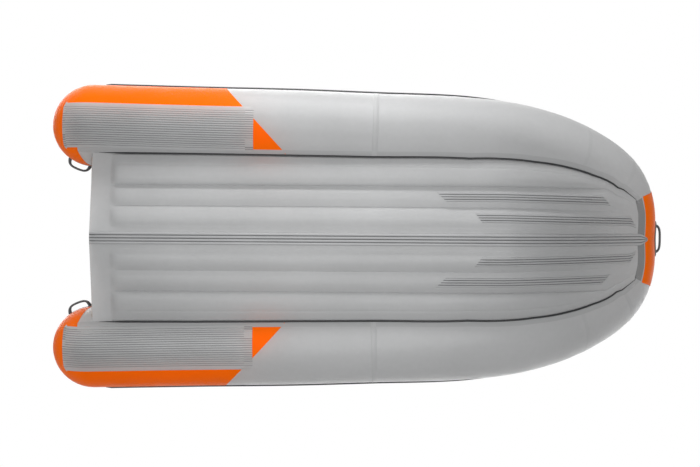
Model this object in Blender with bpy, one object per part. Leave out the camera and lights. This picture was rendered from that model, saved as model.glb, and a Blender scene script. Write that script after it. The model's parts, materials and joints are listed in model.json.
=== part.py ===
"""Inflatable boat with three air chambers, an inflatable V floor and a wooden transom.

Lengths are in metres. +X points to the bow, +Y to port and +Z up. The boat stands upright on
the flat underside of its keel guard, and the origin is on the ground under the middle of its
overall length. A station is a distance forward from the stern tips of the side tubes. An angle
on a tube is counted in degrees round its section, from straight down towards the cockpit.
"""

import math

import bmesh
import bpy
from mathutils import Matrix, Vector

for old_object in list(bpy.data.objects):
    bpy.data.objects.remove(old_object, do_unlink=True)


# Clearances
seat_gap = 0.0003
overrun = 0.002

# Tubes
tube_diameter = 0.475
tube_skin = 0.001
tube_ground_clearance = 0.0325
stern_half_breadth = 0.653
side_tube_length = 1.884
bow_quarter_length = 1.414
bow_rise = 0.26
rise_ahead = 0.316
tube_sides = 24
cap_rings = 6
side_station_shares = (0.457, 0.769, 1.0)
side_breadth_shares = (0.979, 0.963, 0.940)
sweep_headings = (2, 5, 10, 16, 23, 31)
sweep_length_shares = (0.378, 0.134, 0.127, 0.138, 0.106, 0.117)
turn_headings = (43, 58, 74)
turn_length_shares = (0.295, 0.295, 0.362)
rise_power = 2.3

# Air floor
floor_skin = 0.001
floor_start_ahead = 0.0245
floor_wall_ahead = 0.056
wall_step = 0.001
hem_station = 0.366
chamber_station = 0.398
apron_thickness = 0.004
chamber_swell = 0.014
deck_swell = 0.008
centre_flat = 0.036
crease_places = (0.065, 0.186, 0.303, 0.42)
crease_limit_shares = (0.30, 0.62, 0.86, 0.95)
crease_nose_shares = (0.88, 0.88, 0.97, 1.0)
chamber_edge_share = 0.25
flat_limit_share = 0.7
keel_rise_ahead = 0.741
keel_rise_power = 1.7
seam_angles = (45, 42, 41, 38, 34, 29, 23.5, 15, 8, -1, -9.5, -20, -21.5)
deck_angles = (62, 62, 62, 61, 60, 58, 55, 50, 46, 40, 35, 30, 30)
swell_shares = (1, 1, 1, 1, 1, 1, 1, 1, 0.9, 0.6, 0.35, 0.15, 0)
seam_inset_angle = 4
deck_inset_angle = 0.35
side_steps = 4
web_thickness = 0.001
web_last_ring = 8
baffle_collar_share = 0.125
baffle_depth_share = 0.25
baffle_crown_share = 0.8
bow_seat_gap = 0.0009
lap_first_ring = 8
lap_skin = 0.0035
cavity_last_ring = 9

# Keel guard and bow strakes
guard_thickness = 0.005
guard_width = 0.07
guard_ribs = 4
guard_tip_angles = (-27, -31.5, -36, -39, -41.5)
guard_tip_shares = (1, 1, 0.95, 0.6, 0.14)
strake_thickness = 0.005
strake_width = 0.054
strake_ribs = 4
groove_depth = 0.0025
groove_share = 0.3
edge_groove_share = 0.25
strake_skew = 0.06
outer_strake_lift = 0.00102
inner_strake_lift = 0.0013
outer_strake_ahead = 0.381
outer_strake_setback = 0.3607
inner_strake_ahead = 0.592
inner_strake_setback = 0.1807

# Panels and patches on the tubes
panel_thickness = 0.0008
panel_inner_angle = 41
panel_top_angle = 165
panel_gusset_angle = 60
panel_holder_angle = 105
panel_setback = 0.22
panel_front_slope = 0.895
patch_thickness = 0.004
patch_outer_angle = -22
patch_inner_angle = 37
patch_end_setback = 0.02
patch_corner = 0.02
patch_aft_angle = 30
nose_patch_angle = -36
nose_patch_top_angle = -120
nose_patch_reach_share = 0.65
nose_gap = 0.0012

# Rub strake
rub_start = 0.303
rub_angle = -91
rub_bow_angle = -114
rub_half_width = 0.016
rub_height = 0.010
rub_edge_height = 0.003
rub_climb_share = 0.4
rub_crown_share = 0.5

# Transom
transom_thickness = 0.027
transom_height = 0.43
transom_shoulder_height = 0.39
transom_flat_half_width = 0.2
transom_shoulder_half_width = 0.3
transom_rake = 4
holder_web = 0.004
holder_lip = 0.004
holder_depth = 0.035
holder_start_angle = 68
holder_end_angle = 112
outer_pad_size = (0.26, 0.16, 0.004)
inner_pad_size = (0.22, 0.13, 0.006)
pad_centre_height = 0.335
pad_corner = 0.02

# Drain
drain_over_deck = 0.0295
drain_bore = 0.012
drain_barrel = 0.0155
drain_flange = 0.024
drain_flange_thickness = 0.004
drain_flap_thickness = 0.0025
drain_flap_radius = 0.021
drain_hinge_radius = 0.0025
drain_pin_share = 0.6

# Towing eyes
eye_across = 0.27
eye_height = 0.3
eye_plate_size = (0.05, 0.07, 0.003)
eye_plate_corner = 0.01
eye_wire = 0.004
eye_reach = 0.032
eye_span = 0.036
eye_loop_power = 0.7
loop_steps = 8

# Handles
handle_pad_thickness = 0.004
handle_bar_radius = 0.006
handle_shoulder_share = 0.25
handle_steps = 7
bow_handle_reach = 0.047
bow_handle_span = 0.15
bow_pad_half_width = 0.097
stern_handle_reach = 0.045
stern_handle_stations = (0.07, 0.232)
stern_handle_margin_share = 0.15
stern_handle_angles = (95, 112)

# Benches and their rails
rail_reach = 0.22
rail_foot_angles = (118, 137)
rail_foot_thickness = 0.003
rail_angle = 130
rail_stem = 0.008
rail_head_width = 0.020
rail_head_height = 0.006
rail_head_clearance = 0.032
hanger_length = 0.10
hanger_wall = 0.004
hanger_side_clearance = 0.0045
hanger_top_clearance = 0.0004
fore_bench_setback = 0.044
bench_spacing = 0.82
bench_width = 0.24
bench_thickness = 0.018
bench_corner = 0.03
bench_edge = 0.003
bench_overhang = 0.006

# Oarlocks
oarlock_pad_length = 0.12
oarlock_pad_half_angle = 15
oarlock_pad_thickness = 0.004
oarlock_boss_radius = 0.022
oarlock_boss_height = 0.036
oarlock_flare_share = 1.25
oarlock_step_share = 1.15
oarlock_taper_share = 0.6
oarlock_bore_depth = 0.034
oarlock_pin = 0.0062
oarlock_running_clearance = 0.0004
oarlock_collar_radius = 0.013
oarlock_collar_height = 0.006
oarlock_neck_height = 0.012
oarlock_wire = 0.006
oarlock_throat = 0.028
oarlock_arm = 0.038
oarlock_tip_open = 0.006

# Valves
valve_setback = 0.18
valve_angle = 127.5
bow_valve_ring = 5.5
floor_valve_station = 0.50
valve_flange = 0.032
valve_flange_thickness = 0.0042
valve_barrel = 0.0225
valve_hole_clearance = 0.001
valve_bore = 0.018
valve_depth = 0.030
valve_seat_thickness = 0.005
valve_seat_bore = 0.012
valve_tab_reach = 0.044
valve_tab_width = 0.016
valve_cap_radius = 0.026
valve_cap_thickness = 0.006
valve_strap_width = 0.010
valve_strap_thickness = 0.0025
valve_strap_start_share = 0.8
valve_knuckle_share = 0.6
valve_hinge_radius = 0.0028
valve_hinge_reach = 0.038
plunger_disc = 0.0155
plunger_disc_thickness = 0.003
plunger_stem = 0.003
plunger_button = 0.006
plunger_length = 0.020
plunger_wing_thickness = 0.0015
plunger_clearance = 0.0006
small_sides = 16

# Shading
smooth_angle = 35
edge_angle = 60

# Values worked out from the sizes above
tube_radius = tube_diameter / 2
tube_height = tube_radius + tube_ground_clearance
floor_start = tube_radius + floor_start_ahead
floor_wall_station = tube_radius + floor_wall_ahead
facet_angle = 360 / tube_sides
facet_cosine = math.cos(math.radians(facet_angle / 2))
over_panel_lift = seat_gap + panel_thickness + seat_gap
over_nose_lift = nose_gap + panel_thickness + seat_gap
keel_height = guard_thickness + seat_gap
lean = math.tan(math.radians(transom_rake))
rise_station = side_tube_length + rise_ahead
keel_rise_station = side_tube_length + keel_rise_ahead
fore_bench_station = side_tube_length - fore_bench_setback
aft_bench_station = fore_bench_station - bench_spacing
oarlock_station = aft_bench_station + bench_spacing / 2
rail_start = aft_bench_station - rail_reach
rail_end = fore_bench_station + rail_reach
valve_station = rail_start - valve_setback
panel_front_station = oarlock_station - panel_setback
patch_end_station = panel_front_station - patch_end_setback
aft_deck_height = tube_height - tube_radius * math.cos(math.radians(deck_angles[0]))
drain_height = aft_deck_height + drain_over_deck


# Materials

def paint(name, colour, roughness, metallic=0.0):
    material = bpy.data.materials.new(name)
    material.use_nodes = True
    material.diffuse_color = (*colour, 1)
    shader = material.node_tree.nodes["Principled BSDF"]
    shader.inputs["Base Color"].default_value = (*colour, 1)
    shader.inputs["Roughness"].default_value = roughness
    shader.inputs["Metallic"].default_value = metallic
    return material


grey_fabric = paint("grey coated fabric", (0.45, 0.46, 0.47), 0.45)
orange_fabric = paint("orange coated fabric", (0.91, 0.13, 0.01), 0.45)
web_fabric = paint("web fabric", (0.62, 0.62, 0.60), 0.8)
strake_rubber = paint("ribbed grey rubber", (0.25, 0.26, 0.27), 0.55)
wear_rubber = paint("wear patch rubber", (0.36, 0.37, 0.37), 0.6)
black_rubber = paint("black rubber", (0.02, 0.02, 0.022), 0.5)
handle_rubber = paint("dark handle rubber", (0.055, 0.06, 0.065), 0.55)
plywood = paint("varnished plywood", (0.46, 0.27, 0.12), 0.4)
anodised = paint("anodised aluminium", (0.62, 0.63, 0.64), 0.35, 1.0)
stainless = paint("stainless steel", (0.58, 0.58, 0.57), 0.25, 1.0)
black_plastic = paint("black plastic", (0.03, 0.03, 0.032), 0.45)
grey_plastic = paint("grey plastic", (0.32, 0.33, 0.34), 0.45)


# Mesh helpers

def add_object(name, verts, faces, material, frame=Matrix.Identity(4)):
    """Add a closed solid whose points are given in the frame's own axes."""
    mesh = bpy.data.meshes.new(name)
    work = bmesh.new()
    points = [work.verts.new(vert) for vert in verts]
    for face in faces:
        corners = [points[i] for i in face]
        if len(set(corners)) > 2:
            work.faces.new(corners)
    bmesh.ops.recalc_face_normals(work, faces=work.faces)
    work.to_mesh(mesh)
    work.free()
    mesh.materials.append(material)
    mesh.shade_smooth()
    mesh.set_sharp_from_angle(angle=math.radians(smooth_angle))
    piece = bpy.data.objects.new(name, mesh)
    piece.matrix_world = frame
    bpy.context.scene.collection.objects.link(piece)
    return piece


def loft(rings, looped=False):
    """Join rings of points into one closed surface. A ring of one point is a pole."""
    verts, faces, starts = [], [], []
    for ring in rings:
        starts.append(len(verts))
        verts.extend(ring)
    steps = len(rings) if looped else len(rings) - 1
    for i in range(steps):
        j = (i + 1) % len(rings)
        here, there = len(rings[i]), len(rings[j])
        for a in range(max(here, there)):
            b = (a + 1) % max(here, there)
            near = [starts[i]] if here == 1 else [starts[i] + a, starts[i] + b]
            far = [starts[j]] if there == 1 else [starts[j] + b, starts[j] + a]
            faces.append(near + far)
    if not looped:
        for i in (0, len(rings) - 1):
            if len(rings[i]) > 1:
                faces.append([starts[i] + a for a in range(len(rings[i]))])
    return verts, faces


def split_facets(faces, flipped):
    """Cut four-sided facets in two, along their other diagonal where flipped says so."""
    halves = []
    for face in faces:
        if len(set(face)) != 4:
            halves.append(face)
            continue
        a, b, c, d = face
        halves += [[a, b, d], [b, c, d]] if flipped(face) else [[a, b, c], [a, c, d]]
    return halves


def slab(under, over, cells=None, wraps=False):
    """Join two grids of points, one above the other, over the wanted cells."""
    rows, columns = len(under), len(under[0])
    verts = [p for row in under for p in row] + [p for row in over for p in row]
    lift = rows * columns
    last = columns if wraps else columns - 1
    if cells is None:
        cells = {(i, j) for i in range(rows - 1) for j in range(last)}
    faces = []

    def corner(i, j):
        return i * columns + j % columns

    def beside(i, j):
        return (i, j % columns if wraps else j) in cells

    for i, j in sorted(cells):
        quad = [corner(i, j), corner(i + 1, j), corner(i + 1, j + 1), corner(i, j + 1)]
        faces.append(quad)
        faces.append([k + lift for k in quad])
        if not beside(i - 1, j):
            faces.append([quad[0], quad[3], quad[3] + lift, quad[0] + lift])
        if not beside(i + 1, j):
            faces.append([quad[1], quad[2], quad[2] + lift, quad[1] + lift])
        if not beside(i, j - 1):
            faces.append([quad[0], quad[1], quad[1] + lift, quad[0] + lift])
        if not beside(i, j + 1):
            faces.append([quad[3], quad[2], quad[2] + lift, quad[3] + lift])
    return verts, faces


def merged(verts, faces):
    """Make points that share a place one point."""
    places, order, kept = {}, [], []
    for vert in verts:
        key = tuple(round(value * 1e6) for value in vert)
        if key not in places:
            places[key] = len(kept)
            kept.append(vert)
        order.append(places[key])
    tidy = []
    for face in faces:
        corners = []
        for k in (order[i] for i in face):
            if k not in corners:
                corners.append(k)
        tidy.append(corners)
    return kept, tidy


def boolean(piece, others, operation):
    """Cut or join solids with the exact solver and keep only the result."""
    for other in others:
        step = piece.modifiers.new(operation.lower(), "BOOLEAN")
        step.operation = operation
        step.solver = "EXACT"
        step.object = other
    bpy.context.view_layer.update()
    shaped = piece.evaluated_get(bpy.context.evaluated_depsgraph_get())
    mesh = bpy.data.meshes.new_from_object(shaped)
    material = piece.data.materials[0]
    piece.modifiers.clear()
    piece.data = mesh
    mesh.materials.clear()
    mesh.materials.append(material)
    mesh.shade_smooth()
    mesh.set_sharp_from_angle(angle=math.radians(smooth_angle))
    for other in others:
        bpy.data.objects.remove(other, do_unlink=True)
    return piece


def circle(radius, height, sides=small_sides):
    """Points round the local Z axis."""
    turn = 2 * math.pi / sides
    return [Vector((radius * math.cos(i * turn), radius * math.sin(i * turn), height))
            for i in range(sides)]


def turned(name, profile, material, frame, sides=small_sides, ring=False):
    """Turn a profile of (radius, height) points round the local Z axis."""
    rings = []
    for radius, height in profile:
        if radius > 0:
            rings.append(circle(radius, height, sides))
        else:
            rings.append([Vector((0, 0, height))])
    verts, faces = loft(rings, looped=ring)
    return add_object(name, verts, faces, material, frame)


def prism(name, outline, low, high, material, frame=Matrix.Identity(4)):
    """Extrude an outline of (x, y) points along local Z."""
    rings = [[Vector((x, y, z)) for x, y in outline] for z in (low, high)]
    verts, faces = loft(rings)
    return add_object(name, verts, faces, material, frame)


def rounded(half_length, half_width, corner, steps=4):
    """Outline of a rectangle with round corners."""
    points = []
    for quarter, (sx, sy) in enumerate(((1, 1), (-1, 1), (-1, -1), (1, -1))):
        for i in range(steps + 1):
            turn = math.radians(90 * quarter + 90 * i / steps)
            points.append((sx * (half_length - corner) + corner * math.cos(turn),
                           sy * (half_width - corner) + corner * math.sin(turn)))
    return points


def pipe(name, points, radius, material, sides=10, flat=1.0, across=Vector((0, 0, 1))):
    """A round or flattened bar along a route; flat is its height as a share of its width."""
    rings = []
    for i, point in enumerate(points):
        ahead = points[min(i + 1, len(points) - 1)] - points[max(i - 1, 0)]
        ahead.normalize()
        side = ahead.cross(across).normalized()
        rise = side.cross(ahead).normalized()
        ring = []
        for k in range(sides):
            turn = math.pi * (2 * k + 1) / sides
            ring.append(point + radius * (math.cos(turn) * side * flat + math.sin(turn) * rise))
        rings.append(ring)
    verts, faces = loft(rings)
    return add_object(name, verts, faces, material)


def handle_route(start, end, out, reach):
    """A route that leaves start, stands off by reach and comes back to end."""
    points = []
    shoulder = math.sin(math.pi * handle_shoulder_share)
    for i in range(handle_steps + 1):
        share = i / handle_steps
        height = min(1.0, math.sin(math.pi * share) / shoulder)
        points.append(start.lerp(end, share) + out * reach * height)
    return points


# The tubes' shape

def tube_centres():
    """Centres of the port half's rings, from the stern cap's base to the middle of the nose."""
    centres = [Vector((tube_radius, stern_half_breadth, tube_height))]
    for along, out in zip(side_station_shares, side_breadth_shares):
        centres.append(Vector((side_tube_length * along, stern_half_breadth * out, tube_height)))
    place = centres[-1].copy()
    steps = [(turn, share * bow_quarter_length)
             for turn, share in zip(sweep_headings, sweep_length_shares)]
    steps += [(turn, share * tube_radius)
              for turn, share in zip(turn_headings, turn_length_shares)]
    for heading, length in steps:
        turn = math.radians(heading)
        place = place + length * Vector((math.cos(turn), -math.sin(turn), 0))
        centres.append(place)
    centres.append(Vector((place.x, 0, tube_height)))
    nose = place.x
    for centre in centres:
        share = max(0, (centre.x - rise_station) / (nose - rise_station))
        centre.z = tube_height + bow_rise * share ** rise_power
    return centres


centres = tube_centres()
joint_ring = len(side_station_shares)
nose_ring = len(centres) - 1
hull_length = centres[nose_ring].x + tube_radius
overall_length = hull_length + bow_handle_reach
origin_shift = Vector((-overall_length / 2, 0, 0))
centres = [centre + origin_shift for centre in centres]


def world_x(station):
    return station - overall_length / 2


def ring_frame(k):
    """Inboard and downward directions of ring k, and its stretch across the mitre."""
    if k <= joint_ring:
        return Vector((0, -1, 0)), Vector((0, 0, -1)), 1.0
    if k == nose_ring:
        return Vector((-1, 0, 0)), Vector((0, 0, -1)), 1.0
    before = (centres[k] - centres[k - 1]).normalized()
    after = (centres[k + 1] - centres[k]).normalized()
    ahead = (before + after).normalized()
    inboard = Vector((ahead.y, -ahead.x, 0)).normalized()
    down = ahead.cross(inboard)
    return inboard, down, 1 / math.sqrt((1 + before.dot(after)) / 2)


def ring_point(k, angle, lift=0.0):
    """A corner of the port tube's facets, moved out from the skin by lift."""
    radius = tube_radius + lift / facet_cosine
    turn = math.radians(angle)
    if k < 0:
        tilt = math.radians(-90 * k / cap_rings)
        centre = centres[0] - Vector((radius * math.sin(tilt), 0, 0))
        radius = radius * math.cos(tilt)
        inboard, down, stretch = ring_frame(0)
    else:
        centre = centres[k]
        inboard, down, stretch = ring_frame(k)
    return centre + radius * (math.cos(turn) * down + math.sin(turn) * stretch * inboard)


def skin_point(ring, angle, lift=0.0, side=1):
    """Any point of the faceted skin. Rings and angles between corners lie on the flat facets."""
    k = math.floor(ring)
    share = ring - k
    column = math.floor(angle / facet_angle)
    part = angle / facet_angle - column
    low, high = column * facet_angle, (column + 1) * facet_angle

    def on_ring(number):
        if part < 1e-9:
            return ring_point(number, low, lift)
        return ring_point(number, low, lift).lerp(ring_point(number, high, lift), part)

    point = on_ring(k)
    if share > 1e-9:
        point = point.lerp(on_ring(k + 1), share)
    return Vector((point.x, side * point.y, point.z))


def round_point(ring, angle, lift, side=1):
    """A point on the true round section through a whole or broken ring number."""
    k = math.floor(ring)
    share = ring - k

    def on_ring(number):
        inboard, down, stretch = ring_frame(number)
        turn = math.radians(angle)
        arm = math.cos(turn) * down + math.sin(turn) * stretch * inboard
        return centres[number] + (tube_radius + lift) * arm

    point = on_ring(k)
    if share > 1e-9:
        point = point.lerp(on_ring(k + 1), share)
    return Vector((point.x, side * point.y, point.z))


def ring_at(station):
    """The ring number, whole or broken, at a station of the straight side tube."""
    x = world_x(station)
    for k in range(-cap_rings, joint_ring):
        here = ring_point(k, 0).x
        there = ring_point(k + 1, 0).x
        if x <= there or k == joint_ring - 1:
            return k + (x - here) / (there - here)


def ring_angles(start=0.0):
    return [start + i * facet_angle for i in range(tube_sides)]


def facet_angles(low, high):
    """Both limits and every facet edge between them."""
    first = math.floor(low / facet_angle) + 1
    last = math.ceil(high / facet_angle) - 1
    return [low] + [i * facet_angle for i in range(first, last + 1)] + [high]


def broken_rings(low, high):
    """Both limits and every whole ring between them."""
    first = math.floor(low) + 1
    last = math.ceil(high) - 1
    return [low] + list(range(first, last + 1)) + [high]


def mirrored(points):
    return [Vector((p.x, -p.y, p.z)) for p in points]


# Valves

def valve_frame(origin, normal, towards):
    """Local axes with Z out of the skin and X towards the cap's strap."""
    z = normal.normalized()
    x = (towards - towards.dot(z) * z).normalized()
    y = z.cross(x)
    frame = Matrix((x, y, z)).transposed().to_4x4()
    frame.translation = origin
    return frame


def skin_valve_frame(ring, angle, side):
    """Frame of a valve whose middle is the middle of a facet."""
    origin = skin_point(ring, angle, 0, side)
    ahead, behind = math.ceil(ring), math.floor(ring)
    along = skin_point(ahead, angle, 0, side) - skin_point(behind, angle, 0, side)
    aside = facet_angle / 4
    round_way = skin_point(ring, angle + aside, 0, side) - skin_point(ring, angle - aside, 0, side)
    normal = round_way.cross(along).normalized()
    if normal.z < 0:
        normal = -normal
    return valve_frame(origin, normal, -along)


def valve_hole_cutter(frame):
    radius = valve_barrel + valve_hole_clearance
    profile = [(radius, -valve_depth), (radius, valve_depth)]
    cutter = turned("hole", profile, black_plastic, frame)
    cutter.hide_render = True
    cutter.display_type = "WIRE"
    return cutter


def valve(prefix, frame):
    """A valve body let into the skin, its sprung plunger and its hinged cap."""
    top = seat_gap + valve_flange_thickness
    seat_top = -valve_depth + valve_seat_thickness
    profile = [
        (valve_barrel, seat_gap), (valve_flange, seat_gap), (valve_flange, top - seat_gap),
        (valve_flange - 3 * seat_gap, top), (valve_bore, top), (valve_bore, seat_top),
        (valve_seat_bore, seat_top), (valve_seat_bore, -valve_depth), (valve_barrel, -valve_depth),
    ]
    body = turned(prefix + "_valve_body", profile, grey_plastic, frame, ring=True)
    inside = valve_bore + (valve_flange - valve_bore) / 2
    tab = prism("tab", [(inside, -valve_tab_width / 2), (valve_tab_reach, -valve_tab_width / 2),
                        (valve_tab_reach, valve_tab_width / 2), (inside, valve_tab_width / 2)],
                seat_gap, top - 2 * seat_gap, grey_plastic, frame)
    boolean(body, [tab], "UNION")

    hinge_height = top + seat_gap + valve_hinge_radius
    hinge = frame @ Matrix.Translation((valve_hinge_reach, 0, hinge_height))
    under = seat_gap - valve_hinge_radius
    strap_low = -valve_strap_thickness / 2
    outline = [(-valve_hinge_reach + valve_cap_radius * math.cos(turn),
                valve_cap_radius * math.sin(turn))
               for turn in (2 * math.pi * i / small_sides for i in range(small_sides))]
    cap = prism(prefix + "_valve_cap", outline, under, under + valve_cap_thickness,
                grey_plastic, hinge)
    strap_end = -valve_hinge_reach + valve_cap_radius * valve_strap_start_share
    strap = prism("strap", [(strap_end, -valve_strap_width / 2), (0, -valve_strap_width / 2),
                            (0, valve_strap_width / 2), (strap_end, valve_strap_width / 2)],
                  strap_low, -strap_low, grey_plastic, hinge)
    knuckle_frame = hinge @ Matrix.Rotation(math.pi / 2, 4, "X")
    half_knuckle = valve_strap_width * valve_knuckle_share
    knuckle = turned("knuckle", [(valve_hinge_radius, -half_knuckle),
                                 (valve_hinge_radius, half_knuckle)],
                     grey_plastic, knuckle_frame)
    boolean(cap, [strap, knuckle], "UNION")

    disc_top = -valve_depth - seat_gap
    disc_low = disc_top - plunger_disc_thickness
    button_top = disc_top + plunger_length
    button_low = button_top - plunger_disc_thickness
    profile = [(0, disc_low), (plunger_disc, disc_low), (plunger_disc, disc_top),
               (plunger_stem, disc_top), (plunger_stem, button_low),
               (plunger_button, button_low), (plunger_button, button_top), (0, button_top)]
    plunger = turned(prefix + "_valve_plunger", profile, black_plastic, frame)
    wing = valve_seat_bore - plunger_clearance
    half = plunger_wing_thickness / 2
    wing_top = -valve_depth + valve_seat_thickness + half
    blades = []
    for wide, deep in ((wing, half), (half, wing)):
        outline = [(-wide, -deep), (wide, -deep), (wide, deep), (-wide, deep)]
        blades.append(prism("blade", outline, disc_top - half, wing_top, black_plastic, frame))
    boolean(plunger, blades, "UNION")


# Tubes with their inner baffles

def add_tube(name, verts, faces):
    """Add a tube whose outer and inner facets are cut along the same diagonal."""
    faces = split_facets(faces, lambda face: verts[face[0]].x > verts[face[3]].x)
    return add_object(name, verts, faces, grey_fabric)


def side_tube(name, side):
    """Skin of one side chamber: a round stern end, open at the front where the baffle sits."""
    rings = [[ring_point(-cap_rings, 0, 0)]]
    numbers = list(range(-cap_rings + 1, joint_ring + 1))
    rings += [[ring_point(k, a) for a in ring_angles()] for k in numbers]
    rings += [[ring_point(k, a, -tube_skin) for a in ring_angles()] for k in reversed(numbers)]
    rings += [[ring_point(-cap_rings, 0, -tube_skin)]]
    back = seat_gap / 2
    for ring in (rings[len(numbers)], rings[len(numbers) + 1]):
        for point in ring:
            point.x -= back
    if side < 0:
        rings = [mirrored(ring) for ring in rings]
    tube = add_tube(name, *loft(rings))
    frame = skin_valve_frame(ring_at(valve_station), valve_angle, side)
    boolean(tube, [valve_hole_cutter(frame)], "DIFFERENCE")
    return frame


def bow_tube():
    """Skin of the bow chamber, open at both ends behind the joints."""
    numbers = list(range(joint_ring, nose_ring + 1))

    def rings_with(lift):
        port = [[ring_point(k, a, lift) for a in ring_angles()] for k in numbers]
        for point in port[0]:
            point.x += seat_gap / 2
        starboard = [mirrored(ring) for ring in reversed(port[:-1])]
        return port + starboard

    rings = rings_with(0) + list(reversed(rings_with(-tube_skin)))
    tube = add_tube("bow_tube", *loft(rings, looped=True))
    frame = skin_valve_frame(bow_valve_ring, valve_angle, 1)
    boolean(tube, [valve_hole_cutter(frame)], "DIFFERENCE")
    return frame


def baffle(name, side):
    """Fabric cone glued inside the joint, with its collar against the skin."""
    collar = tube_radius * baffle_collar_share
    depth = tube_radius * baffle_depth_share
    crown = depth * baffle_crown_share
    outer = tube_radius - (tube_skin + seat_gap) / facet_cosine
    inner = outer - tube_skin
    joint, before = centres[joint_ring], centres[joint_ring - 1]
    profile = [(outer, -collar), (outer, -seat_gap), (outer / 2, crown), (0, depth),
               (0, depth - tube_skin), (outer / 2 - tube_skin, crown - tube_skin),
               (inner, -seat_gap - tube_skin), (inner, -collar)]
    rings = []
    narrowing = (joint - before) / (joint.x - before.x)
    for radius, along in profile:
        centre = joint + along * narrowing
        centre.y *= side
        if radius == 0:
            rings.append([centre])
            continue
        ring = []
        for angle in ring_angles()[::2]:
            turn = math.radians(angle)
            ring.append(centre + radius * Vector((0, math.sin(turn), -math.cos(turn))))
        rings.append(ring)
    order = [rings[3]] + list(reversed(rings[:3])) + list(reversed(rings[5:])) + [rings[4]]
    verts, faces = loft(order)
    add_object(name, verts, faces, web_fabric)


# Air floor

def crease_place(index, station_share, seam_y):
    """Distance of a chamber crease from the keel, drawn in towards the bow."""
    nose = crease_nose_shares[index]
    place = crease_places[index] * (1 + (nose - 1) * station_share)
    return min(place, crease_limit_shares[index] * seam_y)


class FloorStation:
    """One cross-section of the air floor, with the same count of points at every station."""

    def __init__(self, ring, x=None, swell=1, apron=False, leaning=False, front=False):
        k = min(math.floor(ring), len(seam_angles) - 2)
        share = ring - k
        seam = seam_angles[k] + share * (seam_angles[k + 1] - seam_angles[k])
        deck = deck_angles[k] + share * (deck_angles[k + 1] - deck_angles[k])
        self.sides = side_points(ring, seam, deck, 0.0)
        if x is not None:
            for point in self.sides:
                point.x = x
        self.edge, self.top = self.sides[0], self.sides[-1]
        self.keel = self.edge.z if front else keel_line_height(self.edge.x)
        self.swell = swell * (swell_shares[k] + share * (swell_shares[k + 1] - swell_shares[k]))
        if apron:
            for point in self.sides[1:]:
                point.z = self.base_height(point.y) + apron_thickness
        self.bottom = self.bottom_points()
        self.deck = self.deck_points(apron)
        if leaning:
            for point in self.bottom + self.sides + self.deck:
                point.x -= point.z * lean

    def base_height(self, y):
        """Height of the bottom's plain V at a distance from the keel."""
        return self.keel + (self.edge.z - self.keel) * min(1.0, y / self.edge.y)

    def creases(self, edge_y, x):
        nose = world_x(hull_length) - tube_radius
        start = world_x(keel_rise_station)
        share = min(1.0, max(0.0, (x - start) / (nose - start)))
        return [crease_place(i, share, edge_y) for i in range(len(crease_places))]

    def bottom_points(self):
        x = self.edge.x
        places = self.creases(self.edge.y, x)
        flat = min(centre_flat, places[0] * flat_limit_share)
        points = [Vector((x, flat, self.keel))]
        points.append(Vector((x, places[0], self.base_height(places[0]))))
        for low, high in zip(places, places[1:]):
            for share in (chamber_edge_share, 1 - chamber_edge_share):
                y = low + share * (high - low)
                points.append(Vector((x, y, self.base_height(y) - self.swell * chamber_swell)))
            points.append(Vector((x, high, self.base_height(high))))
        return points

    def deck_points(self, apron):
        x = self.top.x
        places = self.creases(self.top.y, x)[:3]
        flat = min(centre_flat, places[0] * flat_limit_share)
        crown = 0 if apron else self.swell * deck_swell

        def height(y):
            return self.base_height(y) + apron_thickness if apron else self.top.z

        points = [Vector((x, flat, height(flat) + crown))]
        points.append(Vector((x, places[0], height(places[0]))))
        for low, high in zip(places, places[1:] + [self.top.y]):
            middle = (low + high) / 2
            points.append(Vector((x, middle, height(middle) + crown)))
            if high != self.top.y:
                points.append(Vector((x, high, height(high))))
        return points

    def ring(self):
        half = self.bottom + self.sides + list(reversed(self.deck))
        return half + mirrored(reversed(half))


class CavityStation(FloorStation):
    """A cross-section of the room inside the floor, one skin inside the outer sections."""

    def __init__(self, ring, outside, x=None):
        k = min(math.floor(ring), len(seam_angles) - 2)
        share = ring - k
        seam = seam_angles[k] + share * (seam_angles[k + 1] - seam_angles[k])
        deck = deck_angles[k] + share * (deck_angles[k + 1] - deck_angles[k])
        self.sides = side_points(ring, seam + seam_inset_angle, deck - deck_inset_angle, floor_skin)
        if x is not None:
            for point in self.sides:
                point.x = x
        self.edge, self.top = self.sides[0], self.sides[-1]
        skin = floor_skin if ring < lap_first_ring else lap_skin
        self.bottom = rows_at([section.bottom for section in outside], self.edge, skin)
        self.deck = rows_at([section.deck for section in outside], self.top, -floor_skin)


def side_points(ring, seam, deck, inset):
    """Points up the tube's skin from the bottom seam to the deck seam."""
    step = (deck - seam) / side_steps
    gap = seat_gap if ring <= joint_ring else bow_seat_gap
    lift = (tube_radius + gap) / math.cos(math.radians(step / 2)) - tube_radius + inset
    return [round_point(ring, seam + i * step, lift) for i in range(side_steps + 1)]


def rows_at(rows, limit, shift):
    """Points of the rows at the limit's place along the boat, kept inboard of it."""
    for low, high in zip(rows, rows[1:]):
        if limit.x <= high[0].x:
            break
    share = (limit.x - low[0].x) / (high[0].x - low[0].x)
    points = [a.lerp(b, share) for a, b in zip(low, high)]
    inboard = limit.y - 2 * floor_skin
    kept = []
    for i, point in enumerate(points):
        if point.y > inboard:
            before = kept[-1]
            room = (inboard - before.y) / (len(points) - i)
            point = Vector((point.x, before.y + room, before.z))
            point.z += (limit.z - shift - before.z) * room / (limit.y - before.y)
        kept.append(point)
    return [Vector((point.x, point.y, point.z + shift)) for point in kept]


def keel_line_height(x):
    """Height of the floor's keel line over the ground."""
    front = round_point(len(seam_angles) - 1, seam_angles[-1], seat_gap)
    start = world_x(keel_rise_station)
    share = min(1.0, max(0.0, (x - start) / (front.x - start)))
    return keel_height + (front.z - keel_height) * share ** keel_rise_power


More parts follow.
